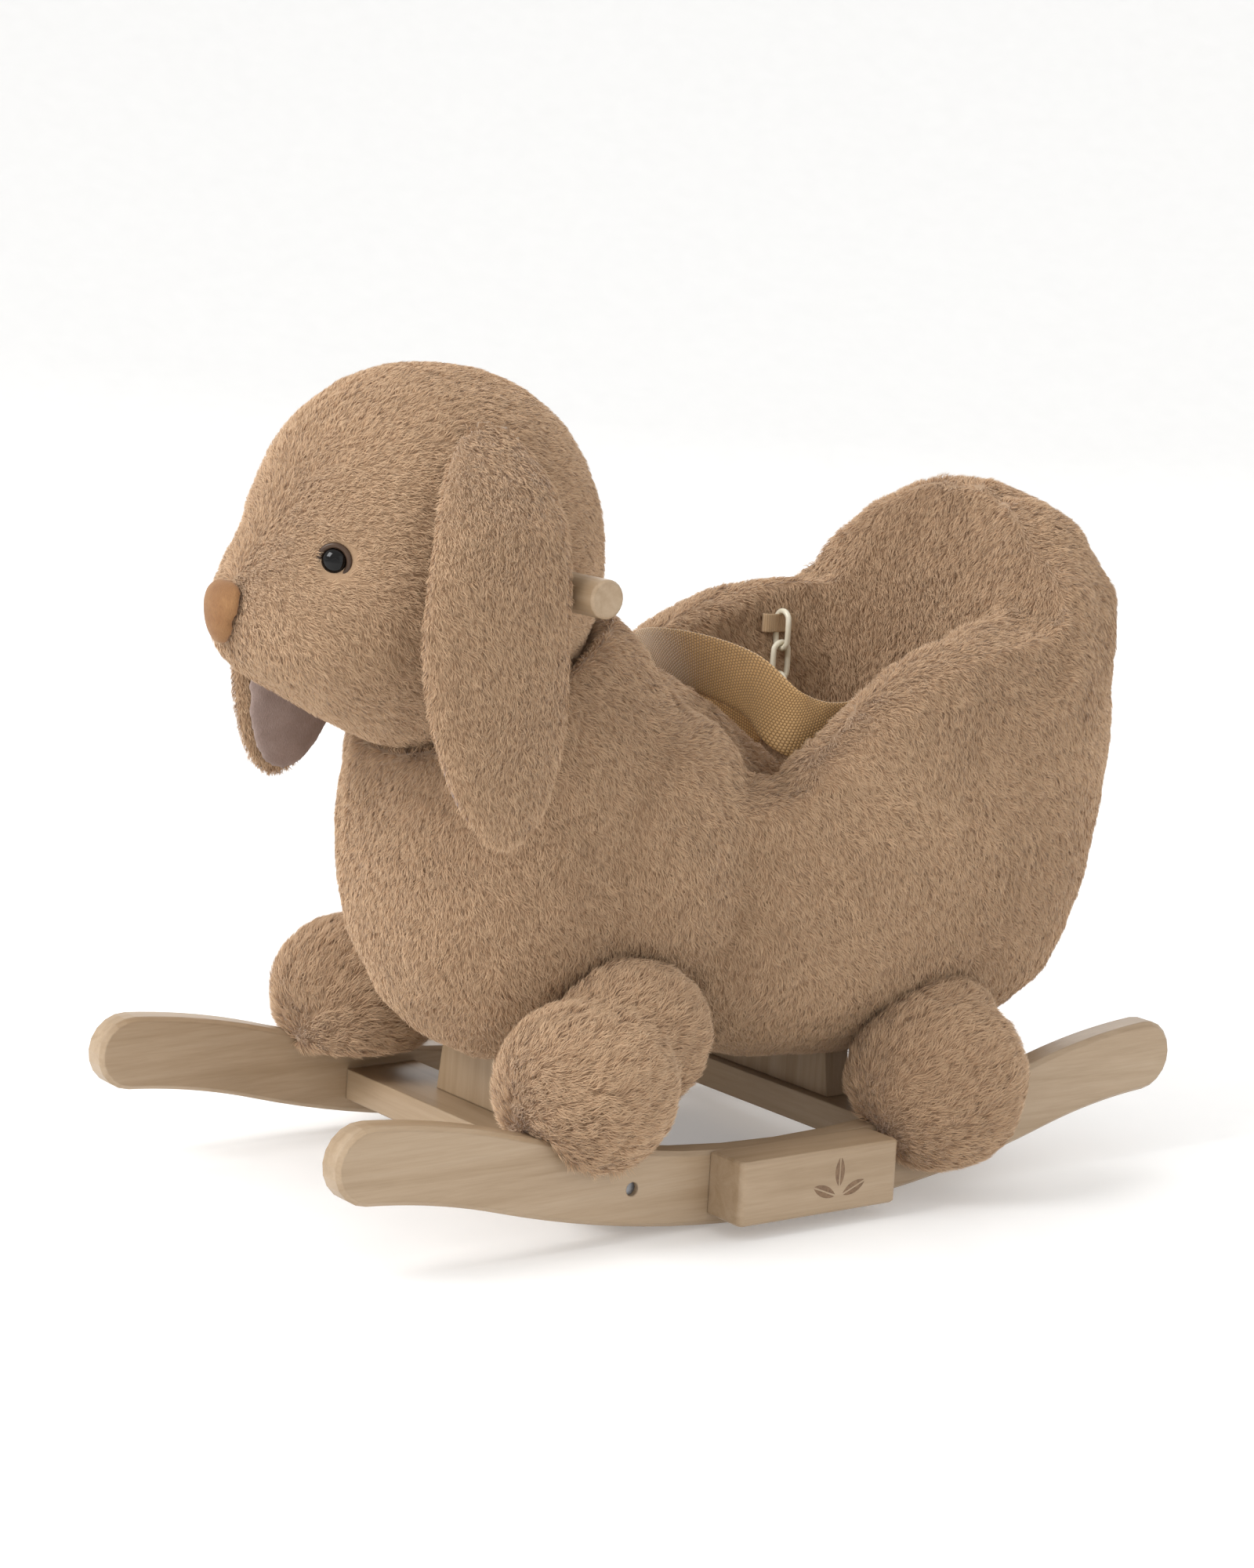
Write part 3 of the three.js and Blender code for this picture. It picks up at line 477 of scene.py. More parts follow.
@dataclass(frozen=True)
class Skin:
    """A stuffed piece's cover, drawn over the solids that hold its place."""

    voxel: float = 4 * MM
    smoothing: int = 10
    inset: float = 4 * MM

    def over(self, name: str, nodes: Sequence[str], hull: bool = False) -> bpy.types.Object:
        """Melts solids into one soft closed skin.

        Args:
            name: The new piece's name.
            nodes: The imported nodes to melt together.
            hull: Whether to wrap them in their convex hull first.

        Returns:
            The skin.
        """
        bm = bmesh.new()
        for node in nodes:
            bm.from_mesh(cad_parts[node].data)
        if hull:
            shell = bmesh.ops.convex_hull(bm, input=bm.verts)
            spare = shell["geom_interior"] + shell["geom_unused"]
            loose = {e for e in spare if isinstance(e, bmesh.types.BMVert)}
            bmesh.ops.delete(bm, geom=list(loose), context="VERTS")
            kept = {e for e in shell["geom"] if isinstance(e, bmesh.types.BMFace)}
            bmesh.ops.delete(bm, geom=[f for f in bm.faces if f not in kept], context="FACES_ONLY")
        bmesh.ops.remove_doubles(bm, verts=bm.verts, dist=0.02 * MM)
        bmesh.ops.recalc_face_normals(bm, faces=bm.faces)
        skin = from_bmesh(name, bm)
        grid = skin.modifiers.new("grid", "REMESH")
        grid.mode, grid.voxel_size, grid.use_smooth_shade = "VOXEL", self.voxel, True
        baked(skin)
        largest_part(skin)
        ease = skin.modifiers.new("ease", "SMOOTH")
        ease.factor, ease.iterations = 0.5, self.smoothing
        baked(skin)
        reshape(skin, corners(skin.data) - normals(skin.data) * self.inset)
        return skin


@dataclass(frozen=True)
class Stuffing:
    """Presses a skin outwards as tight filling does, by a short cloth simulation."""

    pressure: float = 4.0
    steps: int = 20
    cap: float = 6 * MM

    def fill(self, skin: bpy.types.Object) -> None:
        """Inflates a closed skin in place.

        Args:
            skin: The piece to fill; afterwards its faces are subdivided once.
        """
        before = corners(skin.data)
        cloth = skin.modifiers.new("stuffing", "CLOTH")
        cloth.settings.use_pressure = True
        cloth.settings.uniform_pressure_force = self.pressure
        cloth.settings.effector_weights.gravity = 0
        for step in range(1, self.steps + 1):
            bpy.context.scene.frame_set(step)
        baked(skin)
        move = corners(skin.data) - before
        far = np.linalg.norm(move, axis=1, keepdims=True)
        reshape(skin, before + move * np.minimum(1.0, self.cap / np.maximum(far, 1e-9)))
        bpy.context.scene.frame_set(1)
        skin.modifiers.new("finer", "SUBSURF").levels = 1
        baked(skin)


@dataclass(frozen=True)
class Swell:
    """A soft push on a skin round one place, fading with distance."""

    at: tuple[float, float, float]
    reach: tuple[float, float, float]
    push: tuple[float, float, float]

    def apply(self, places: np.ndarray) -> np.ndarray:
        """Moves the places; values are in millimetres."""
        gap = (places / MM - np.array(self.at)) / np.array(self.reach)
        return places + np.exp(-(gap ** 2).sum(1))[:, None] * np.array(self.push) * MM


@dataclass(frozen=True)
class Seam:
    """A sewn line that pulls a skin in along a path, in millimetres."""

    path: tuple[tuple[float, float, float], ...]
    depth: float = 3.0
    width: float = 6.0

    def apply(self, places: np.ndarray, up: np.ndarray) -> np.ndarray:
        """Presses the line into the skin."""
        at = places / MM
        gap = np.full(len(at), np.inf)
        for a, b in zip(np.array(self.path[:-1]), np.array(self.path[1:])):
            share = ((at - a) @ (b - a) / ((b - a) @ (b - a))).clip(0, 1)[:, None]
            gap = np.minimum(gap, np.linalg.norm(at - a - share * (b - a), axis=1))
        return places - up * (self.depth * MM * np.exp(-(gap / self.width) ** 2))[:, None]


def sculpt(skin: bpy.types.Object, steps: Sequence[Swell | Seam], rumples: float, seed: float) -> None:
    """Shapes a skin by pushes, seams and slow rumples.

    Args:
        skin: The piece to shape.
        steps: The pushes and seams in order.
        rumples: Height of the rumples in metres.
        seed: Picks their pattern.
    """
    places, up = corners(skin.data), normals(skin.data)
    for step in steps:
        places = step.apply(places) if isinstance(step, Swell) else step.apply(places, up)
    wave = rumple(places, 38 * MM, seed) + 0.45 * rumple(places, 15 * MM, seed + 7)
    reshape(skin, places + up * (wave * rumples)[:, None])


def near(places: np.ndarray, others: Sequence[bpy.types.Object], reach: float) -> np.ndarray:
    """Which places lie inside or within reach of other closed pieces.

    Args:
        places: Points as rows.
        others: The pieces to test against.
        reach: The distance that counts as touching.

    Returns:
        One flag for each place.
    """
    hit = np.zeros(len(places), bool)
    for other in others:
        mesh = other.data
        mesh.calc_loop_triangles()
        tree = BVHTree.FromPolygons([v.co for v in mesh.vertices], [t.vertices for t in mesh.loop_triangles])
        lo, hi = corners(mesh).min(0) - reach, corners(mesh).max(0) + reach
        for i in np.flatnonzero(((places > lo) & (places < hi)).all(1) & ~hit):
            at = Vector(places[i])
            hit[i] = tree.find_nearest(at)[3] < reach or within(tree, at)
    return hit


def within(tree: BVHTree, at: Vector) -> bool:
    """Whether a point lies inside a closed mesh: a line from it leaves through an odd number of faces."""
    way = Vector((0.31, 0.17, 0.93)).normalized()
    inside = False
    spot = tree.ray_cast(at, way)[0]
    while spot is not None:
        inside = not inside
        spot = tree.ray_cast(spot + way * 0.02 * MM, way)[0]
    return inside


@dataclass(frozen=True)
class Coat:
    """A coat of short tapered strands that lie along a flow over a skin."""

    length: float = 5.6 * MM
    width: float = 0.46 * MM
    spacing: float = 0.88 * MM
    lift: float = 0.36
    clump: float = 5.5 * MM
    clumping: float = 0.3
    stray: float = 0.34
    limit: int = 65000

    def grow(self, name: str, skin: bpy.types.Object, flow: Flow, bare: np.ndarray, seed: int,
             material: bpy.types.Material) -> list[bpy.types.Object]:
        """Grows the coat, split into pieces that stay small enough to store.

        Args:
            name: The coat's name; a number follows it.
            skin: The piece that the strands stand on.
            flow: Gives the lie of the pile from places and normals.
            bare: One flag for each skin vertex that stays without strands.
            seed: Starts the random choices.
            material: The strands' finish.

        Returns:
            The strand pieces.
        """
        rng = np.random.default_rng(seed)
        mesh = skin.data
        mesh.calc_loop_triangles()
        tri = np.empty(len(mesh.loop_triangles) * 3, np.int64)
        mesh.loop_triangles.foreach_get("vertices", tri)
        tri = tri.reshape(-1, 3)
        tri = tri[~bare[tri].any(1)]
        points, facing = corners(mesh), normals(mesh)
        first, second, third = (points[tri[:, i]] for i in range(3))
        area = np.linalg.norm(np.cross(second - first, third - first), axis=1) / 2
        count = int(area.sum() / self.spacing ** 2)
        pick = tri[np.searchsorted(np.cumsum(area) / area.sum(), rng.random(count)).clip(0, len(tri) - 1)]
        share = rng.random((count, 2))
        share[share.sum(1) > 1] = 1 - share[share.sum(1) > 1]
        weights = np.column_stack([1 - share.sum(1), share])[:, :, None]
        roots = (points[pick] * weights).sum(1)
        up = unit((facing[pick] * weights).sum(1))
        order = np.argsort(roots[:, 1])
        roots, up = roots[order], up[order]
        pieces = []
        for part in np.array_split(np.arange(count), math.ceil(count / self.limit)):
            label = f"{name}_{len(pieces) + 1}"
            pieces.append(self._piece(label, roots[part], up[part], flow, rng, material))
        return pieces

    def _piece(self, name: str, roots: np.ndarray, up: np.ndarray, flow: Flow, rng: np.random.Generator,
               material: bpy.types.Material) -> bpy.types.Object:
        """Makes one mesh of strands, each a bent blade of a quad and a triangle."""
        count = len(roots)
        lie = unit(flat_on(flow(roots, up), up))
        centre, tuft = tufts(roots, self.clump)
        side = np.cross(lie, up)
        swing = (swirl(roots) * 0.5 + (tuft[:, 0] - 0.5) * 0.9 + rng.normal(0, self.stray, count))[:, None]
        lie = unit(lie * np.cos(swing) + side * np.sin(swing))
        long = self.length * (0.75 + 0.3 * tuft[:, 1] + 0.25 * rng.random(count))[:, None]
        rise = (self.lift * (0.6 + 0.9 * rng.random(count)))[:, None]
        pull = flat_on(centre - roots, up) * self.clumping
        middle = roots + long * 0.5 * unit(lie + up * rise * 1.7) + pull * 0.4
        tips = middle + long * 0.55 * unit(lie + up * rise * 0.5) + pull * 0.6
        roll = (rng.random(count)[:, None] - 0.5) * 2.2
        wide = unit(np.cross(lie, up) * np.cos(roll) + up * np.sin(roll)) * self.width / 2
        base = roots - up * 0.8 * MM
        blade = np.stack([base - wide, base + wide, middle - wide * 0.75, middle + wide * 0.75, tips], 1)
        mesh = bpy.data.meshes.new(name)
        mesh.vertices.add(count * 5)
        mesh.vertices.foreach_set("co", blade.astype(np.float32).ravel())
        mesh.loops.add(count * 7)
        loops = np.arange(count)[:, None] * 5 + np.array([0, 1, 3, 2, 2, 3, 4])
        mesh.loops.foreach_set("vertex_index", loops.astype(np.int32).ravel())
        mesh.polygons.add(count * 2)
        starts = np.arange(count)[:, None] * 7 + np.array([0, 4])
        mesh.polygons.foreach_set("loop_start", starts.astype(np.int32).ravel())
        mesh.polygons.foreach_set("use_smooth", np.ones(count * 2, bool))
        shade = 0.5 + 0.3 * swirl(roots * 0.6 + 3) + 0.5 * (tuft[:, 2] - 0.5) + rng.normal(0, 0.12, count)
        shade = shade.clip(0.02, 0.98)
        rising = np.array([0.05, 0.05, 0.5, 0.5, 0.5, 0.5, 0.95])
        uv = np.stack([np.repeat(shade[:, None], 7, 1), np.repeat(rising[None], count, 0)], 2)
        mesh.uv_layers.new(name="OFBake").data.foreach_set("uv", uv.astype(np.float32).ravel())
        mesh.update(calc_edges=True)
        return new_object(name, mesh, material)


def unit(rows: np.ndarray) -> np.ndarray:
    """Rows scaled to length one."""
    return rows / np.maximum(np.linalg.norm(rows, axis=1, keepdims=True), 1e-9)


def flat_on(rows: np.ndarray, up: np.ndarray) -> np.ndarray:
    """Rows with their part along up taken away."""
    return rows - up * (rows * up).sum(1, keepdims=True)


def swirl(places: np.ndarray) -> np.ndarray:
    """Slow waves from about -1 to 1 that make patches in the pile."""
    x, y, z = (places * 55).T
    return (np.sin(x * 1.3 + 1.7 * np.sin(y * 0.8)) + np.sin(y * 1.1 + 1.9 * np.sin(z * 0.9 + 1))
            + np.sin(z * 1.2 + 1.6 * np.sin(x * 0.7 + 2))) / 3


def tufts(places: np.ndarray, size: float) -> tuple[np.ndarray, np.ndarray]:
    """Finds the tuft that each strand belongs to.

    Args:
        places: The strands' roots.
        size: The pitch of the tufts.

    Returns:
        The tuft's middle and three random shares of its own, for each strand.
    """
    def hashed(cells: np.ndarray) -> np.ndarray:
        mix = np.sin(cells @ np.array([[127.1, 269.5, 113.5], [311.7, 183.3, 271.9], [74.7, 246.1, 124.6]]))
        return np.modf(np.abs(mix * 43758.5453))[0]
    cells = np.floor(places / size)
    best = np.full(len(places), np.inf)
    centre = places.copy()
    share = np.zeros((len(places), 3))
    for step in np.stack(np.meshgrid(*[[-1, 0, 1]] * 3), -1).reshape(-1, 3):
        chance = hashed(cells + step)
        middle = (cells + step + chance) * size
        gap = ((middle - places) ** 2).sum(1)
        closer = gap < best
        best[closer], centre[closer], share[closer] = gap[closer], middle[closer], chance[closer]
    return centre, share


# ---------------------------------------------------------------- wooden frame
@dataclass
class WoodenFrame:
    """Rails, crossbars, posts, footrests and handle with a wood finish, and their fasteners."""

    mark_size: float = 14 * MM
    midrib: float = 0.9 * MM

    def dress(self) -> None:
        """Gives each board a grain that runs along it."""
        runs = {
            Axis.Y: ["rail_left", "rail_right"],
            Axis.X: ["crossbar_front", "crossbar_rear", "handle_dowel"],
            Axis.Z: ["post_front", "post_rear"],
        }
        for axis, nodes in runs.items():
            plain = Wood(axis).shader(f"beech_{axis.name.lower()}").material
            for node in nodes:
                self._finish(node, plain)
        marked = self._marked()
        for side in Side:
            self._finish(f"footrest_{side.word}", marked)
        steel = Moulded("zinc_steel", linear(120, 121, 124), linear(160, 161, 164), 0.3, metal=0.9).material()
        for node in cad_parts:
            if "bolt" in node or "screw" in node:
                self._finish(node, steel)
        board = Wood(Axis.Y, linear(180, 152, 116), linear(150, 120, 86)).shader("plywood").material
        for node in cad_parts:
            if node.endswith("_board") or node.startswith("side_board"):
                self._finish(node, board)

    def _finish(self, node: str, material: bpy.types.Material) -> None:
        """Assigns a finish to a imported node."""
        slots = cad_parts[node].material_slots
        for slot in slots:
            slot.material = material

    def _marked(self) -> bpy.types.Material:
        """Wood with a small sprig of three leaves burnt into the footrest's outer face."""
        s = Wood(Axis.Y).shader("beech_marked")
        lo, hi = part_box("footrest_left")
        middle_y, middle_z = lo.y + (hi.y - lo.y) * 0.62, (lo.z + hi.z) / 2 - 1.5 * MM
        where = s.add("SeparateXYZ", {0: s.add("TexCoord").outputs["Object"]})
        leaves = None
        for turn, dy, dz in ((90, 0, 6.5), (22, 11, -4), (158, -11, -4)):
            leaf = self._leaf(s, where, (middle_y + dy * MM, middle_z + dz * MM), math.radians(turn))
            leaves = leaf if leaves is None else s.maths("MAXIMUM", leaves, leaf)
        outer = s.maths("GREATER_THAN", s.maths("ABSOLUTE", where.outputs[0]), hi.x - 1 * MM)
        burnt = s.maths("MULTIPLY", leaves, outer)
        char = s.cloud(s.place((1, 1, 1)), 500, 3)
        brown = s.ramp(char, [(0.3, linear(104, 76, 50)), (0.7, linear(134, 104, 74))])
        plain = s.surface.inputs["Base Color"].links[0].from_socket
        normal = s.surface.inputs["Normal"].links[0].from_socket
        s.set({Socket.COLOUR: s.blend("MIX", burnt, plain, brown),
               Socket.NORMAL: s.bump(s.maths("SUBTRACT", 1.0, burnt), 0.5 * MM, 1.0, normal)})
        return s.material

    def _leaf(self, s: Shader, where: bpy.types.Node, middle: tuple[float, float], turn: float) -> Wire:
        """A leaf outline with a midrib: where two discs overlap.

        Args:
            s: The shader to add to.
            where: The node that splits the object coordinates.
            middle: The leaf's middle along Y and Z.
            turn: The leaf's turn in radians.

        Returns:
            A socket that is 1 on the leaf and 0 off it.
        """
        reach, radius = self.mark_size * 0.75, self.mark_size
        insides = []
        for side in (-1, 1):
            cy = middle[0] - side * math.sin(turn) * reach
            cz = middle[1] + side * math.cos(turn) * reach
            dy, dz = (s.maths("SUBTRACT", where.outputs[i], c) for i, c in ((1, cy), (2, cz)))
            gap = s.maths("SQRT", s.maths("ADD", s.maths("MULTIPLY", dy, dy), s.maths("MULTIPLY", dz, dz)))
            insides.append(s.maths("SUBTRACT", radius, gap))
        depth = s.maths("MINIMUM", *insides)
        rib = s.maths("ABSOLUTE", s.maths("SUBTRACT", *insides))
        filled = s.maths("GREATER_THAN", depth, 0.0)
        return s.maths("MULTIPLY", filled, s.maths("GREATER_THAN", rib, self.midrib))


# ---------------------------------------------------------------- rabbit
@dataclass
class Rabbit:
    """The stuffed rabbit: trunk with its seat, head, ears and paws, each a skin with a coat."""

    fur: Fur = field(default_factory=Fur)
    coat: Coat = field(default_factory=Coat)
    stuffing: Stuffing = field(default_factory=Stuffing)
    eye_gap: float = 11 * MM
    bare_gap: float = 1.5 * MM
    ear_fold: tuple[float, float] = (4 * MM, 62 * MM)
    skins: dict[str, bpy.types.Object] = field(default_factory=dict)
    bodies: dict[str, str] = field(default_factory=dict)

    def build(self) -> None:
        """Draws the skins first, because each coat stays clear of its neighbours."""
        self._add(Skin(5 * MM, 14, 4.5 * MM).over("trunk_skin", [
            "torso", "backrest", "side_wall_left", "side_wall_right", "seat_base_board", "neck_board",
            "back_board", "side_board_left", "side_board_right"]), "root",
            "torso", "backrest", "side_wall_left", "side_wall_right")
        self._add(Skin(4.5 * MM, 16, 4 * MM).over("head_skin", ["head"], hull=True), "root", "head")
        sculpt(self.skins["trunk_skin"], self._trunk_shape(), 1.8 * MM, 3)
        sculpt(self.skins["head_skin"], self._head_shape(), 1.0 * MM, 5)
        for side in Side:
            for end in ("front", "rear"):
                node = f"paw_{end}_{side.word}"
                skin = Skin(4 * MM, 8, 3 * MM).over(node + "_skin", [node])
                self._add(skin, "root", node)
                sculpt(skin, self._paw_shape(node, side, end), 1.2 * MM, 9 + len(self.skins))
            ear = f"ear_{side.word}"
            self._add(Skin(3 * MM, 6, 2.5 * MM).over(ear + "_skin", [ear]), ear, ear)

    def _trunk_shape(self) -> list[Swell | Seam]:
        """The backrest leans and tapers, and each wall has a seam where it joins the backrest."""
        steps = [Swell((0, 300, 120), (200, 70, 90), (0, -16, 0)),
                 Swell((0, 262, 425), (140, 90, 60), (0, 12, 13)),
                 Swell((0, 30, 60), (120, 150, 22), (0, 0, 3)),
                 Swell((0, 300, 300), (150, 60, 90), (0, 10, 0))]
        for side in Side:
            x = 150 * side.value
            steps.append(Swell((x, 300, 380), (50, 60, 70), (-14 * side.value, -10, -6)))
            joint = ((x * 0.62, 196, 222), (x * 0.62, 200, 330), (x * 0.8, 214, 350), (x, 235, 346))
            steps.append(Seam(joint, depth=4, width=8))
        return steps

    def _head_shape(self) -> list[Swell | Seam]:
        """A fuller muzzle below a sloping brow, and hollows for the eyes."""
        steps = [Swell((0, -300, 343), (52, 60, 42), (0, -10, 0)),
                 Swell((0, -296, 420), (80, 40, 34), (0, 5, 0)),
                 Swell((0, -285, 285), (60, 40, 24), (0, 6, 6))]
        for side in Side:
            lo, hi = (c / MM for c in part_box(f"eye_rim_{side.word}"))
            middle = (lo + hi) / 2
            steps.append(Swell(tuple(middle), (17, 17, 17), (-2.4 * side.value, 2.4, 0)))
        return steps

    def _paw_shape(self, node: str, side: Side, end: str) -> list[Swell | Seam]:
        """Two short toe creases on a front paw, and one slanting crease on a rear paw.

        Args:
            node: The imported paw.
            side: The rabbit's side.
            end: Either front or rear.

        Returns:
            The creases to press in.
        """
        lo, hi = (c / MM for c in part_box(node))
        out = hi.x if side is Side.LEFT else lo.x
        inward = -side.value
        middle = (lo.y + hi.y) / 2
        if end == "rear":
            slant = ((out + inward * 8, middle + 2, lo.z + 4), (out + inward * 2, middle + 24, lo.z + 26),
                     (out + inward * 12, middle + 46, lo.z + 48))
            return [Seam(slant, depth=3.4, width=6)]
        creases = []
        for at in (12, 34):
            low = (out + inward * 14, lo.y + 6 + at, lo.z + 6)
            high = (out + inward * 4, lo.y + 16 + at, lo.z + 30)
            creases.append(Seam((low, high), depth=3, width=5))
        return creases

    def _add(self, skin: bpy.types.Object, body: str, *nodes: str) -> None:
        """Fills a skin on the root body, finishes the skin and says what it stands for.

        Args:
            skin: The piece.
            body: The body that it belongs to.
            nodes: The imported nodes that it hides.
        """
        if body == "root":
            self.stuffing.fill(skin)
        skin.data.materials.clear()
        skin.data.materials.append(bpy.data.materials.get("plush_backing") or self.fur.skin())
        self._hang(skin, body)
        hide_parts(*nodes)
        self.skins[skin.name] = skin
        self.bodies[skin.name] = body
        LOG.info("%s: %d faces", skin.name, len(skin.data.polygons))

    def _hang(self, piece: bpy.types.Object, body: str) -> None:
        """Lets a piece ride on the root body; a piece of another body only has its transform applied to its
        mesh.

        Args:
            piece: A skin or a piece of its coat.
            body: The body that it belongs to.
        """
        if body == "root":
            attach(piece, body)
            return
        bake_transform(piece)

    def dress(self) -> None:
        """Grows every coat."""
        pile = self.fur.strands()
        for seed, (name, skin) in enumerate(self.skins.items()):
            part = name.replace("_skin", "")
            bare = self._bare(name, corners(skin.data))
            coat = self._coat_for(part)
            for piece in coat.grow(part + "_coat", skin, self._flow_for(part), bare, seed, pile):
                self._hang(piece, self.bodies[name])
                LOG.info("%s: %d strands", piece.name, len(piece.data.polygons) // 2)

    def _bare(self, name: str, places: np.ndarray) -> np.ndarray:
        """Which places of a skin stay without strands, because something else lies on them.

        Args:
            name: The skin's name.
            places: Its vertices as rows.

        Returns:
            One flag for each place.
        """
        hard = ("rail_left", "rail_right", "post_front", "post_rear", "handle_dowel", "footrest_left",
                "footrest_right")
        wood = [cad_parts[node] for node in hard]
        is_ear = name.startswith("ear")
        others = [skin for other, skin in self.skins.items()
                  if other != name and not (other.startswith("ear") or is_ear)]
        bare = near(places, others, self.bare_gap) | near(places, wood, self.bare_gap)
        if is_ear:
            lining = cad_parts[name.replace("_skin", "").replace("ear_", "ear_lining_")]
            bare |= near(places, [lining], 1.0 * MM)
        if name == "head_skin":
            for side in Side:
                lo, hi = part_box(f"eye_rim_{side.word}")
                bare |= np.linalg.norm(places - np.array((lo + hi) / 2), axis=1) < self.eye_gap
            bare |= near(places, [bpy.data.objects["nose_pad"]], 0.8 * MM)
        return bare

    def _coat_for(self, part: str) -> Coat:
        """The coat of one piece: shorter on the head and ears."""
        if part.startswith("ear") or part == "head":
            return Coat(length=5.2 * MM, width=0.44 * MM, spacing=0.86 * MM, lift=0.34, clump=4.2 * MM)
        if part.startswith("paw"):
            return Coat(length=7.5 * MM, lift=0.36, clump=7 * MM, clumping=0.32)
        return self.coat

    def _flow_for(self, part: str) -> Flow:
        """The lie of the pile on one piece."""
        if part == "head":
            nose = np.array([0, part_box("nose")[0].y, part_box("nose")[1].z])
            return lambda at, up: unit(at - nose) + np.array([0, 0.3, -0.55])
        if part.startswith("ear"):
            return lambda at, up: np.tile([0, 0.12, -1.0], (len(at), 1))
        if part.startswith("paw"):
            lo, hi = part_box(part)
            toe = np.array([(lo.x + hi.x) / 2, lo.y + 0.01, lo.z + 0.2 * (hi.z - lo.z)])
            return lambda at, up: unit(at - toe) + np.array([0, 0, -0.15])
        return lambda at, up: np.tile([0, 0.45, -1.0], (len(at), 1)) + np.array([[0, 0.5, 0]]) * up[:, 2:3]


@dataclass
class Face:
    """Glossy eyes in moulded rims, a velour nose and the ears' velvet linings."""

    pupil: float = 7.2 * MM
    rim: float = 10 * MM
    proud: float = 2.0 * MM
    outward: float = 42

    def build(self) -> None:
        """Makes each small piece of the face."""
        gloss = Moulded("eye_black", linear(5, 4, 4), linear(11, 9, 8), 0.03, shine=0.3).material()
        brown = Moulded("eye_brown", linear(58, 42, 31), linear(82, 62, 47), 0.3, shine=0.3).material()
        for side in Side:
            turn = self._turn(side)
            eye = self._lathe(f"eye_dome_{side.word}", self._dome(), turn, gloss)
            rim = self._lathe(f"eye_ring_{side.word}", self._ring(), turn, brown)
            for piece, node, slot in ((eye, "eye", "eye_gloss"), (rim, "eye_rim", "dark_plastic")):
                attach(piece, "root")
                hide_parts(f"{node}_{side.word}")
                LOG.info("%s: on the face", piece.name)
            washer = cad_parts[f"eye_washer_{side.word}"]
            washer.material_slots[0].material = brown
            self._lining(side)
        nose = Skin(1.6 * MM, 8, -0.6 * MM).over("nose_pad", ["nose"])
        reshape(nose, Swell((0, -305, 343), (60, 60, 60), (0, -8, 0)).apply(corners(nose.data)))
        nose.data.materials.clear()
        nose.data.materials.append(Pile("nose_velour", linear(138, 96, 58), linear(158, 116, 74)).material())
        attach(nose, "root")
        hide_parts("nose")

    def _turn(self, side: Side) -> Matrix:
        """Places a piece turned about +Z so that it faces out of the eye socket.

        Args:
            side: The rabbit's side.

        Returns:
            The place and turn as one matrix.
        """
        lo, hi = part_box(f"eye_rim_{side.word}")
        turn = math.radians(self.outward)
        out = Vector((side.value * math.sin(turn), -math.cos(turn), 0.03)).normalized()
        facing = out.to_track_quat("Z", "Y").to_matrix().to_4x4()
        return Matrix.Translation((lo + hi) / 2 + out * self.proud) @ facing

    def _dome(self) -> list[tuple[float, float]]:
        """The pupil's profile as radius and height."""
        steps = [math.radians(a) for a in range(0, 91, 6)]
        return ([(0.0, -5 * MM), (self.pupil * 0.9, -5 * MM)]
                + [(self.pupil * math.cos(a), self.pupil * 0.72 * math.sin(a) - 1 * MM) for a in steps])

    def _ring(self) -> list[tuple[float, float]]:
        """The rim's profile: a rounded lip round the pupil."""
        middle, half = (self.rim + self.pupil) / 2, (self.rim - self.pupil) / 2 + 0.3 * MM
        return [(middle + half * math.cos(a), half * 0.9 * math.sin(a) - 0.6 * MM)
                for a in (math.radians(d) for d in range(0, 361, 24))]

    def _lathe(self, name: str, profile: list[tuple[float, float]], place: Matrix,
               material: bpy.types.Material) -> bpy.types.Object:
        """Turns a profile round its axis.

        Args:
            name: The piece's name.
            profile: Radius and height pairs.
            place: Where the piece goes.
            material: Its finish.

        Returns:
            The turned piece.
        """
        bm = bmesh.new()
        points = [bm.verts.new((r, 0, h)) for r, h in profile]
        edges = [bm.edges.new(pair) for pair in zip(points[:-1], points[1:])]
        bmesh.ops.spin(bm, geom=points + edges, angle=math.tau, steps=40, axis=(0, 0, 1), use_duplicate=False)
        bmesh.ops.remove_doubles(bm, verts=bm.verts, dist=0.01 * MM)
        bmesh.ops.recalc_face_normals(bm, faces=bm.faces)
        bmesh.ops.transform(bm, matrix=place, verts=bm.verts)
        return from_bmesh(name, bm, material)

    def _lining(self, side: Side) -> None:
        """The velvet on the ear's inner face."""
        body = f"ear_{side.word}"
        lining = Skin(2.4 * MM, 5, 0.2 * MM).over(f"ear_velvet_{side.word}", [f"ear_lining_{side.word}"])
        velvet = bpy.data.materials.get("velvet_lining") or Pile(
            "velvet_lining", linear(142, 122, 114), linear(160, 140, 132)).material()
        lining.data.materials.clear()
        lining.data.materials.append(velvet)
        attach(lining, body)
        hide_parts(f"ear_lining_{side.word}")


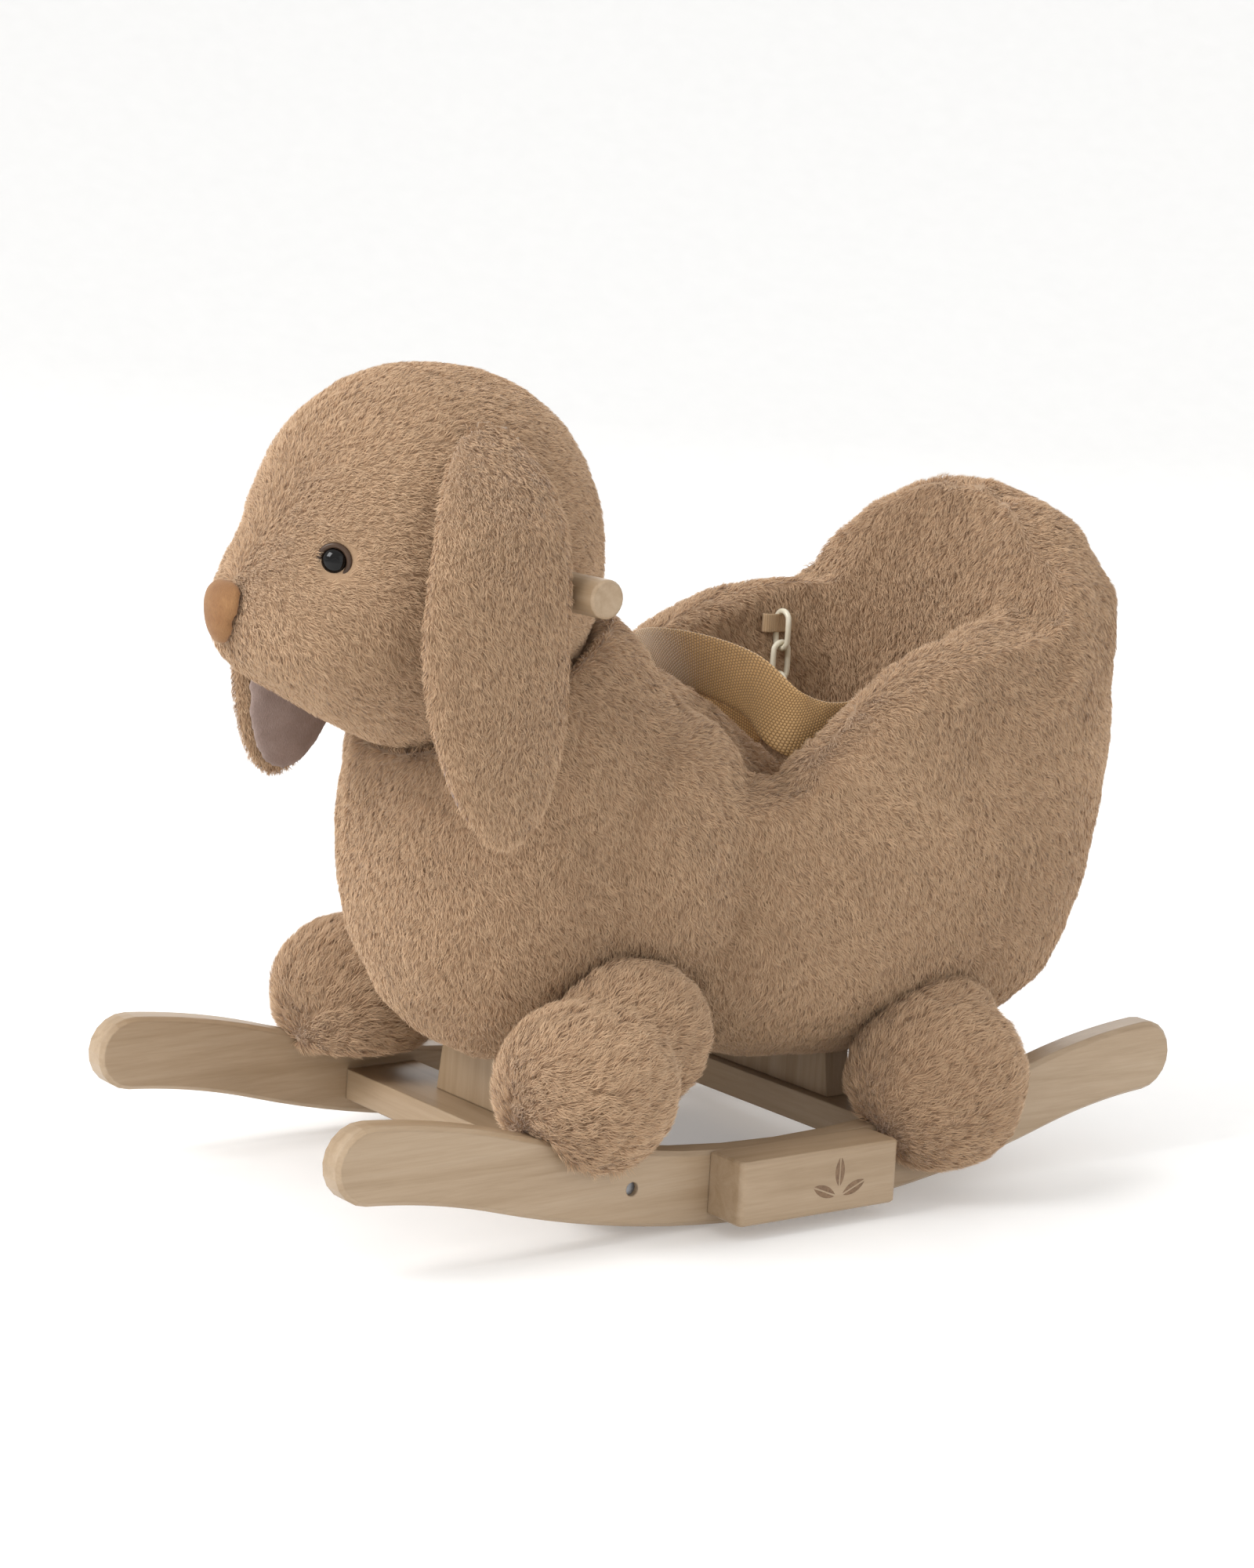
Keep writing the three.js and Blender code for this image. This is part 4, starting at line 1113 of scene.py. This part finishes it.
@dataclass
class Belt:
    """The lap belt: one webbing band hung by ribbon loops on two short chains of moulded links."""

    width: float = 38 * MM
    thickness: float = 1.5 * MM
    ribbon: float = 12 * MM
    ribbon_thick: float = 0.8 * MM
    wire: float = 1.9 * MM

    def build(self) -> None:
        """Makes the band, the links and the ribbon loops."""
        route = self._route()
        band = self._strip("belt_webbing", route, self.width, self.thickness, self._band_across(route))
        length = self._length(route)
        band.data.materials.append(Weave("belt_weave", linear(128, 94, 52), linear(214, 172, 116), 20,
                                         round(length / (1.9 * MM))).material())
        self._place(band, "belt", "belt_strap")
        ivory = Moulded("link_ivory", linear(222, 214, 190), linear(236, 230, 210), 0.28, coat=0.2).material()
        for side in Side:
            for order in (1, 2, 3):
                node = f"chain_link_{side.word}_{order}"
                self._place(self._link(node, ivory), f"chain_{side.word}", node)
            self._ribbons(side)
        LOG.info("belt: %.0f mm of webbing", length / MM)

    def _place(self, piece: bpy.types.Object, body: str, node: str) -> None:
        """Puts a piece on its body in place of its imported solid."""
        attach(piece, body)
        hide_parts(node)

    def _route(self) -> np.ndarray:
        """The band's middle line, from the right chain round behind the neck to the left one."""
        right = [(-84, 143, 255), (-85, 100, 256), (-84, 58, 266), (-76, 32, 281), (-50, 21, 300)]
        left = [(50, 21, 300), (76, 30, 282), (82, 50, 274), (83, 72, 273), (84, 93.2, 278.2)]
        return smooth_line(np.array([*right, (0, 12, 307), *left]) * MM, 170)

    def _band_across(self, route: np.ndarray) -> np.ndarray:
        """The band's width direction: upright, and laid back a little where it rounds the neck."""
        lean = np.sin(np.pi * np.linspace(0, 1, len(route)))[:, None] ** 12
        across = np.array([[0, -0.3, 0]]) * lean + np.array([[0, 0, 1]]) * (1 - 0.05 * lean)
        along = unit(np.gradient(route, axis=0))
        return unit(across - along * (across * along).sum(1, keepdims=True))

    def _length(self, route: np.ndarray) -> float:
        """A route's length."""
        return float(np.linalg.norm(np.diff(route, axis=0), axis=1).sum())

    def _strip(self, name: str, route: np.ndarray, width: float | np.ndarray, thick: float,
               across: np.ndarray) -> bpy.types.Object:
        """A closed band with rounded edges along a route, mapped from 0 to 1 both ways.

        Args:
            name: The piece's name.
            route: Its middle line.
            width: Its width, or one for each point of the line.
            thick: Its thickness.
            across: Its width direction at each point.

        Returns:
            The band, without a material.
        """
        out = np.cross(unit(np.gradient(route, axis=0)), across)
        half = np.broadcast_to(np.asarray(width) / 2, len(route))[:, None]
        lanes = [(-1, 0), (-0.97, 1), *((x, 1) for x in np.linspace(-0.8, 0.8, 7)), (0.97, 1),
                 (1, 0), (0.97, -1), *((x, -1) for x in np.linspace(0.8, -0.8, 7)), (-0.97, -1)]
        bm = bmesh.new()
        layer = bm.loops.layers.uv.new("OFBake")
        rings = []
        for i, middle in enumerate(route):
            wide, deep = across[i] * half[i], out[i] * thick / 2
            rings.append([bm.verts.new(middle + wide * x + deep * y) for x, y in lanes])
        count = len(lanes)
        for i, (a, b) in enumerate(zip(rings[:-1], rings[1:])):
            for j in range(count):
                k = (j + 1) % count
                face = bm.faces.new((a[j], a[k], b[k], b[j]))
                spots = ((j, i), (k, i), (k, i + 1), (j, i + 1))
                for loop, (lane, step) in zip(face.loops, spots):
                    loop[layer].uv = (lanes[lane][0] / 2 + 0.5, step / (len(route) - 1))
        for ring in (rings[0][::-1], rings[-1]):
            bm.faces.new(ring)
        bmesh.ops.recalc_face_normals(bm, faces=bm.faces)
        return from_bmesh(name, bm)

    def _link(self, node: str, material: bpy.types.Material) -> bpy.types.Object:
        """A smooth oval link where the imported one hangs.

        Args:
            node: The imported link.
            material: Its finish.

        Returns:
            The link.
        """
        places = corners(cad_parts[node].data)
        turned = np.linalg.eigh(np.cov(places.T))[1]
        side, flat, long = (Vector(turned[:, i]) for i in range(3))
        middle = Vector((places.max(0) + places.min(0)) / 2)
        spread = (places - np.array(middle)) @ turned
        radius = float(np.abs(spread[:, 1]).max()) - self.wire
        straight = float(np.abs(spread[:, 2]).max()) - self.wire - radius
        bm = bmesh.new()
        rings = []
        for i in range(36):
            angle = math.tau * i / 36
            away = flat * math.cos(angle) + long * math.sin(angle)
            spot = away * radius + long * straight * max(-1.0, min(1.0, 3 * math.sin(angle)))
            rings.append([bm.verts.new(middle + spot + (away * math.cos(t) + side * math.sin(t)) * self.wire)
                          for t in np.linspace(0, math.tau, 12, endpoint=False)])
        for i, ring in enumerate(rings):
            following = rings[(i + 1) % len(rings)]
            for j in range(12):
                k = (j + 1) % 12
                bm.faces.new((ring[j], ring[k], following[k], following[j]))
        bmesh.ops.recalc_face_normals(bm, faces=bm.faces)
        return from_bmesh(node + "_ring", bm, material)

    def _ribbons(self, side: Side) -> None:
        """The ribbon loops that hold the chain to the wall's seam and the band to the chain."""
        weave = bpy.data.materials.get("ribbon_rib") or Weave(
            "ribbon_rib", linear(176, 140, 100), linear(218, 186, 146), 26, 40, 0.5).material()
        lo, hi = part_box(f"chain_link_{side.word}_1")
        wire = (hi.x if side is Side.LEFT else lo.x) - side.value * self.wire
        y, z, pull = (lo.y + hi.y) / 2, (lo.z + hi.z) / 2 + 4 * MM, 2.7 * MM
        loop = [(wire + 1.2 * MM, y + 17 * MM, z), (wire + pull, y + 4 * MM, z), (wire + pull, y - 8 * MM, z),
                (wire, y - 11 * MM, z), (wire - pull, y - 8 * MM, z), (wire - pull, y + 4 * MM, z),
                (wire - 1.2 * MM, y + 17 * MM, z)]
        route = smooth_line(np.array(loop), 40)
        seam = self._strip(f"seam_ribbon_{side.word}", route, self.ribbon, self.ribbon_thick,
                           np.tile([0, 0, 1.0], (len(route), 1)))
        seam.data.materials.append(weave)
        self._place(seam, "root", f"seam_tab_{side.word}")
        lo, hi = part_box(f"strap_tab_{side.word}")
        last_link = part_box(f"chain_link_{side.word}_3")[0]
        x, bend = (lo.x + hi.x) / 2, last_link.z + self.wire
        rear, front = hi.y - 3 * MM, lo.y - 12 * MM
        loop = [(x, front, bend - 1 * MM), (x, rear - 8 * MM, bend + 1 * MM), (x, rear, bend - 2.6 * MM),
                (x, rear + 2 * MM, bend), (x, rear, bend + 2.8 * MM), (x, rear - 9 * MM, bend + 7 * MM),
                (x, front, bend + 3 * MM)]
        route = smooth_line(np.array(loop), 40)
        share = np.abs(np.linspace(-1, 1, len(route)))
        across = unit(np.column_stack([np.ones(len(route)), np.zeros(len(route)), share * 1.2]))
        ribbon = self._strip(f"strap_ribbon_{side.word}", route, 8 * MM + share * 15 * MM,
                             self.ribbon_thick, across)
        ribbon.data.materials.append(weave)
        self._place(ribbon, "belt", f"strap_tab_{side.word}")


def smooth_line(points: np.ndarray, count: int) -> np.ndarray:
    """An even smooth line through points, by a cardinal spline.

    Args:
        points: The points as rows.
        count: How many places to return.

    Returns:
        Places along the line as rows.
    """
    padded = np.vstack([2 * points[0] - points[1], points, 2 * points[-1] - points[-2]])
    t = np.linspace(0, 1, 24, endpoint=False)[:, None]
    rows = []
    for a, b, c, d in zip(padded[:-3], padded[1:-2], padded[2:-1], padded[3:]):
        rows.append(0.5 * (2 * b + (c - a) * t + (2 * a - 5 * b + 4 * c - d) * t ** 2
                           + (3 * b - a - 3 * c + d) * t ** 3))
    line = np.vstack([*rows, points[-1:]])
    run = np.concatenate([[0], np.cumsum(np.linalg.norm(np.diff(line, axis=0), axis=1))])
    even = np.linspace(0, run[-1], count)
    return np.column_stack([np.interp(even, run, line[:, i]) for i in range(3)])


# ---------------------------------------------------------------- camera and light
@dataclass
class Studio:
    """A pale floor, soft light and the camera."""

    eye: tuple[float, float, float] = (1.63687, -1.26501, 0.586)
    azimuth: float = 52.90
    elevation: float = 9.75
    roll: float = 3.25
    lens: float = 79.7
    sensor: float = 36.0

    def build(self) -> None:
        """Makes the camera, the floor, the lamps and the sky."""
        camera = bpy.data.cameras.new("camera")
        camera.lens, camera.sensor_width, camera.clip_end = self.lens, self.sensor, 50
        holder = bpy.data.objects.new("camera", camera)
        bpy.context.scene.collection.objects.link(holder)
        a, e = math.radians(self.azimuth), math.radians(self.elevation)
        back = Vector((math.sin(a) * math.cos(e), -math.cos(a) * math.cos(e), math.sin(e)))
        right = Vector((math.cos(a), math.sin(a), 0))
        level = Matrix((right, back.cross(right), back)).transposed()
        holder.matrix_world = (Matrix.Translation(self.eye)
                               @ (level @ Matrix.Rotation(math.radians(self.roll), 3, "Z")).to_4x4())
        bpy.context.scene.camera = holder
        self._floor()
        self._lamp("key", (-0.2, -2.4, 2.2), 1.4, 60)
        self._lamp("fill", (2.6, 0.4, 1.2), 2.2, 6)
        self._lamp("back", (-1.8, 1.6, 2.0), 1.8, 22)
        world = bpy.data.worlds.new("studio")
        world.use_nodes = True
        sky = world.node_tree.nodes["Background"]
        sky.inputs[0].default_value, sky.inputs[1].default_value = (1, 0.995, 0.985, 1), 0.8
        bpy.context.scene.world = world
        bpy.context.scene.view_settings.view_transform = "Standard"

    def _floor(self) -> None:
        """A wide pale sheet that turns up far behind the toy."""
        bm = bmesh.new()
        bmesh.ops.create_grid(bm, x_segments=24, y_segments=24, size=6)
        for vertex in bm.verts:
            away = max(0.0, math.hypot(vertex.co.x, vertex.co.y) - 2.5)
            vertex.co.z = 0.12 * away * away - 0.5 * MM
        s = Shader("studio_floor")
        dust = s.cloud(s.place((1, 1, 1)), 30, 4)
        s.set({Socket.COLOUR: s.ramp(dust, [(0.3, (0.84, 0.84, 0.835)), (0.7, (0.87, 0.87, 0.865))]),
               Socket.ROUGHNESS: 0.75, Socket.GLOW: (1.0, 1.0, 1.0), Socket.GLOW_STRENGTH: 0.2})
        from_bmesh("studio_floor", bm, s.material)

    def _lamp(self, name: str, at: tuple[float, float, float], size: float, power: float) -> None:
        """Adds a square soft lamp that points at the toy."""
        lamp = bpy.data.lights.new(name, "AREA")
        lamp.size, lamp.energy = size, power
        holder = bpy.data.objects.new(name, lamp)
        bpy.context.scene.collection.objects.link(holder)
        holder.location = at
        holder.rotation_euler = (Vector(at) - Vector((0, 0, 0.2))).to_track_quat("Z", "Y").to_euler()


def main() -> None:
    """Builds the rocker piece by piece."""
    logging.basicConfig(level=logging.INFO, format="%(name)s %(message)s")
    Studio().build()
    WoodenFrame().dress()
    rabbit = Rabbit()
    rabbit.build()
    Face().build()
    rabbit.dress()
    Belt().build()


if __name__ == "__main__":
    main()
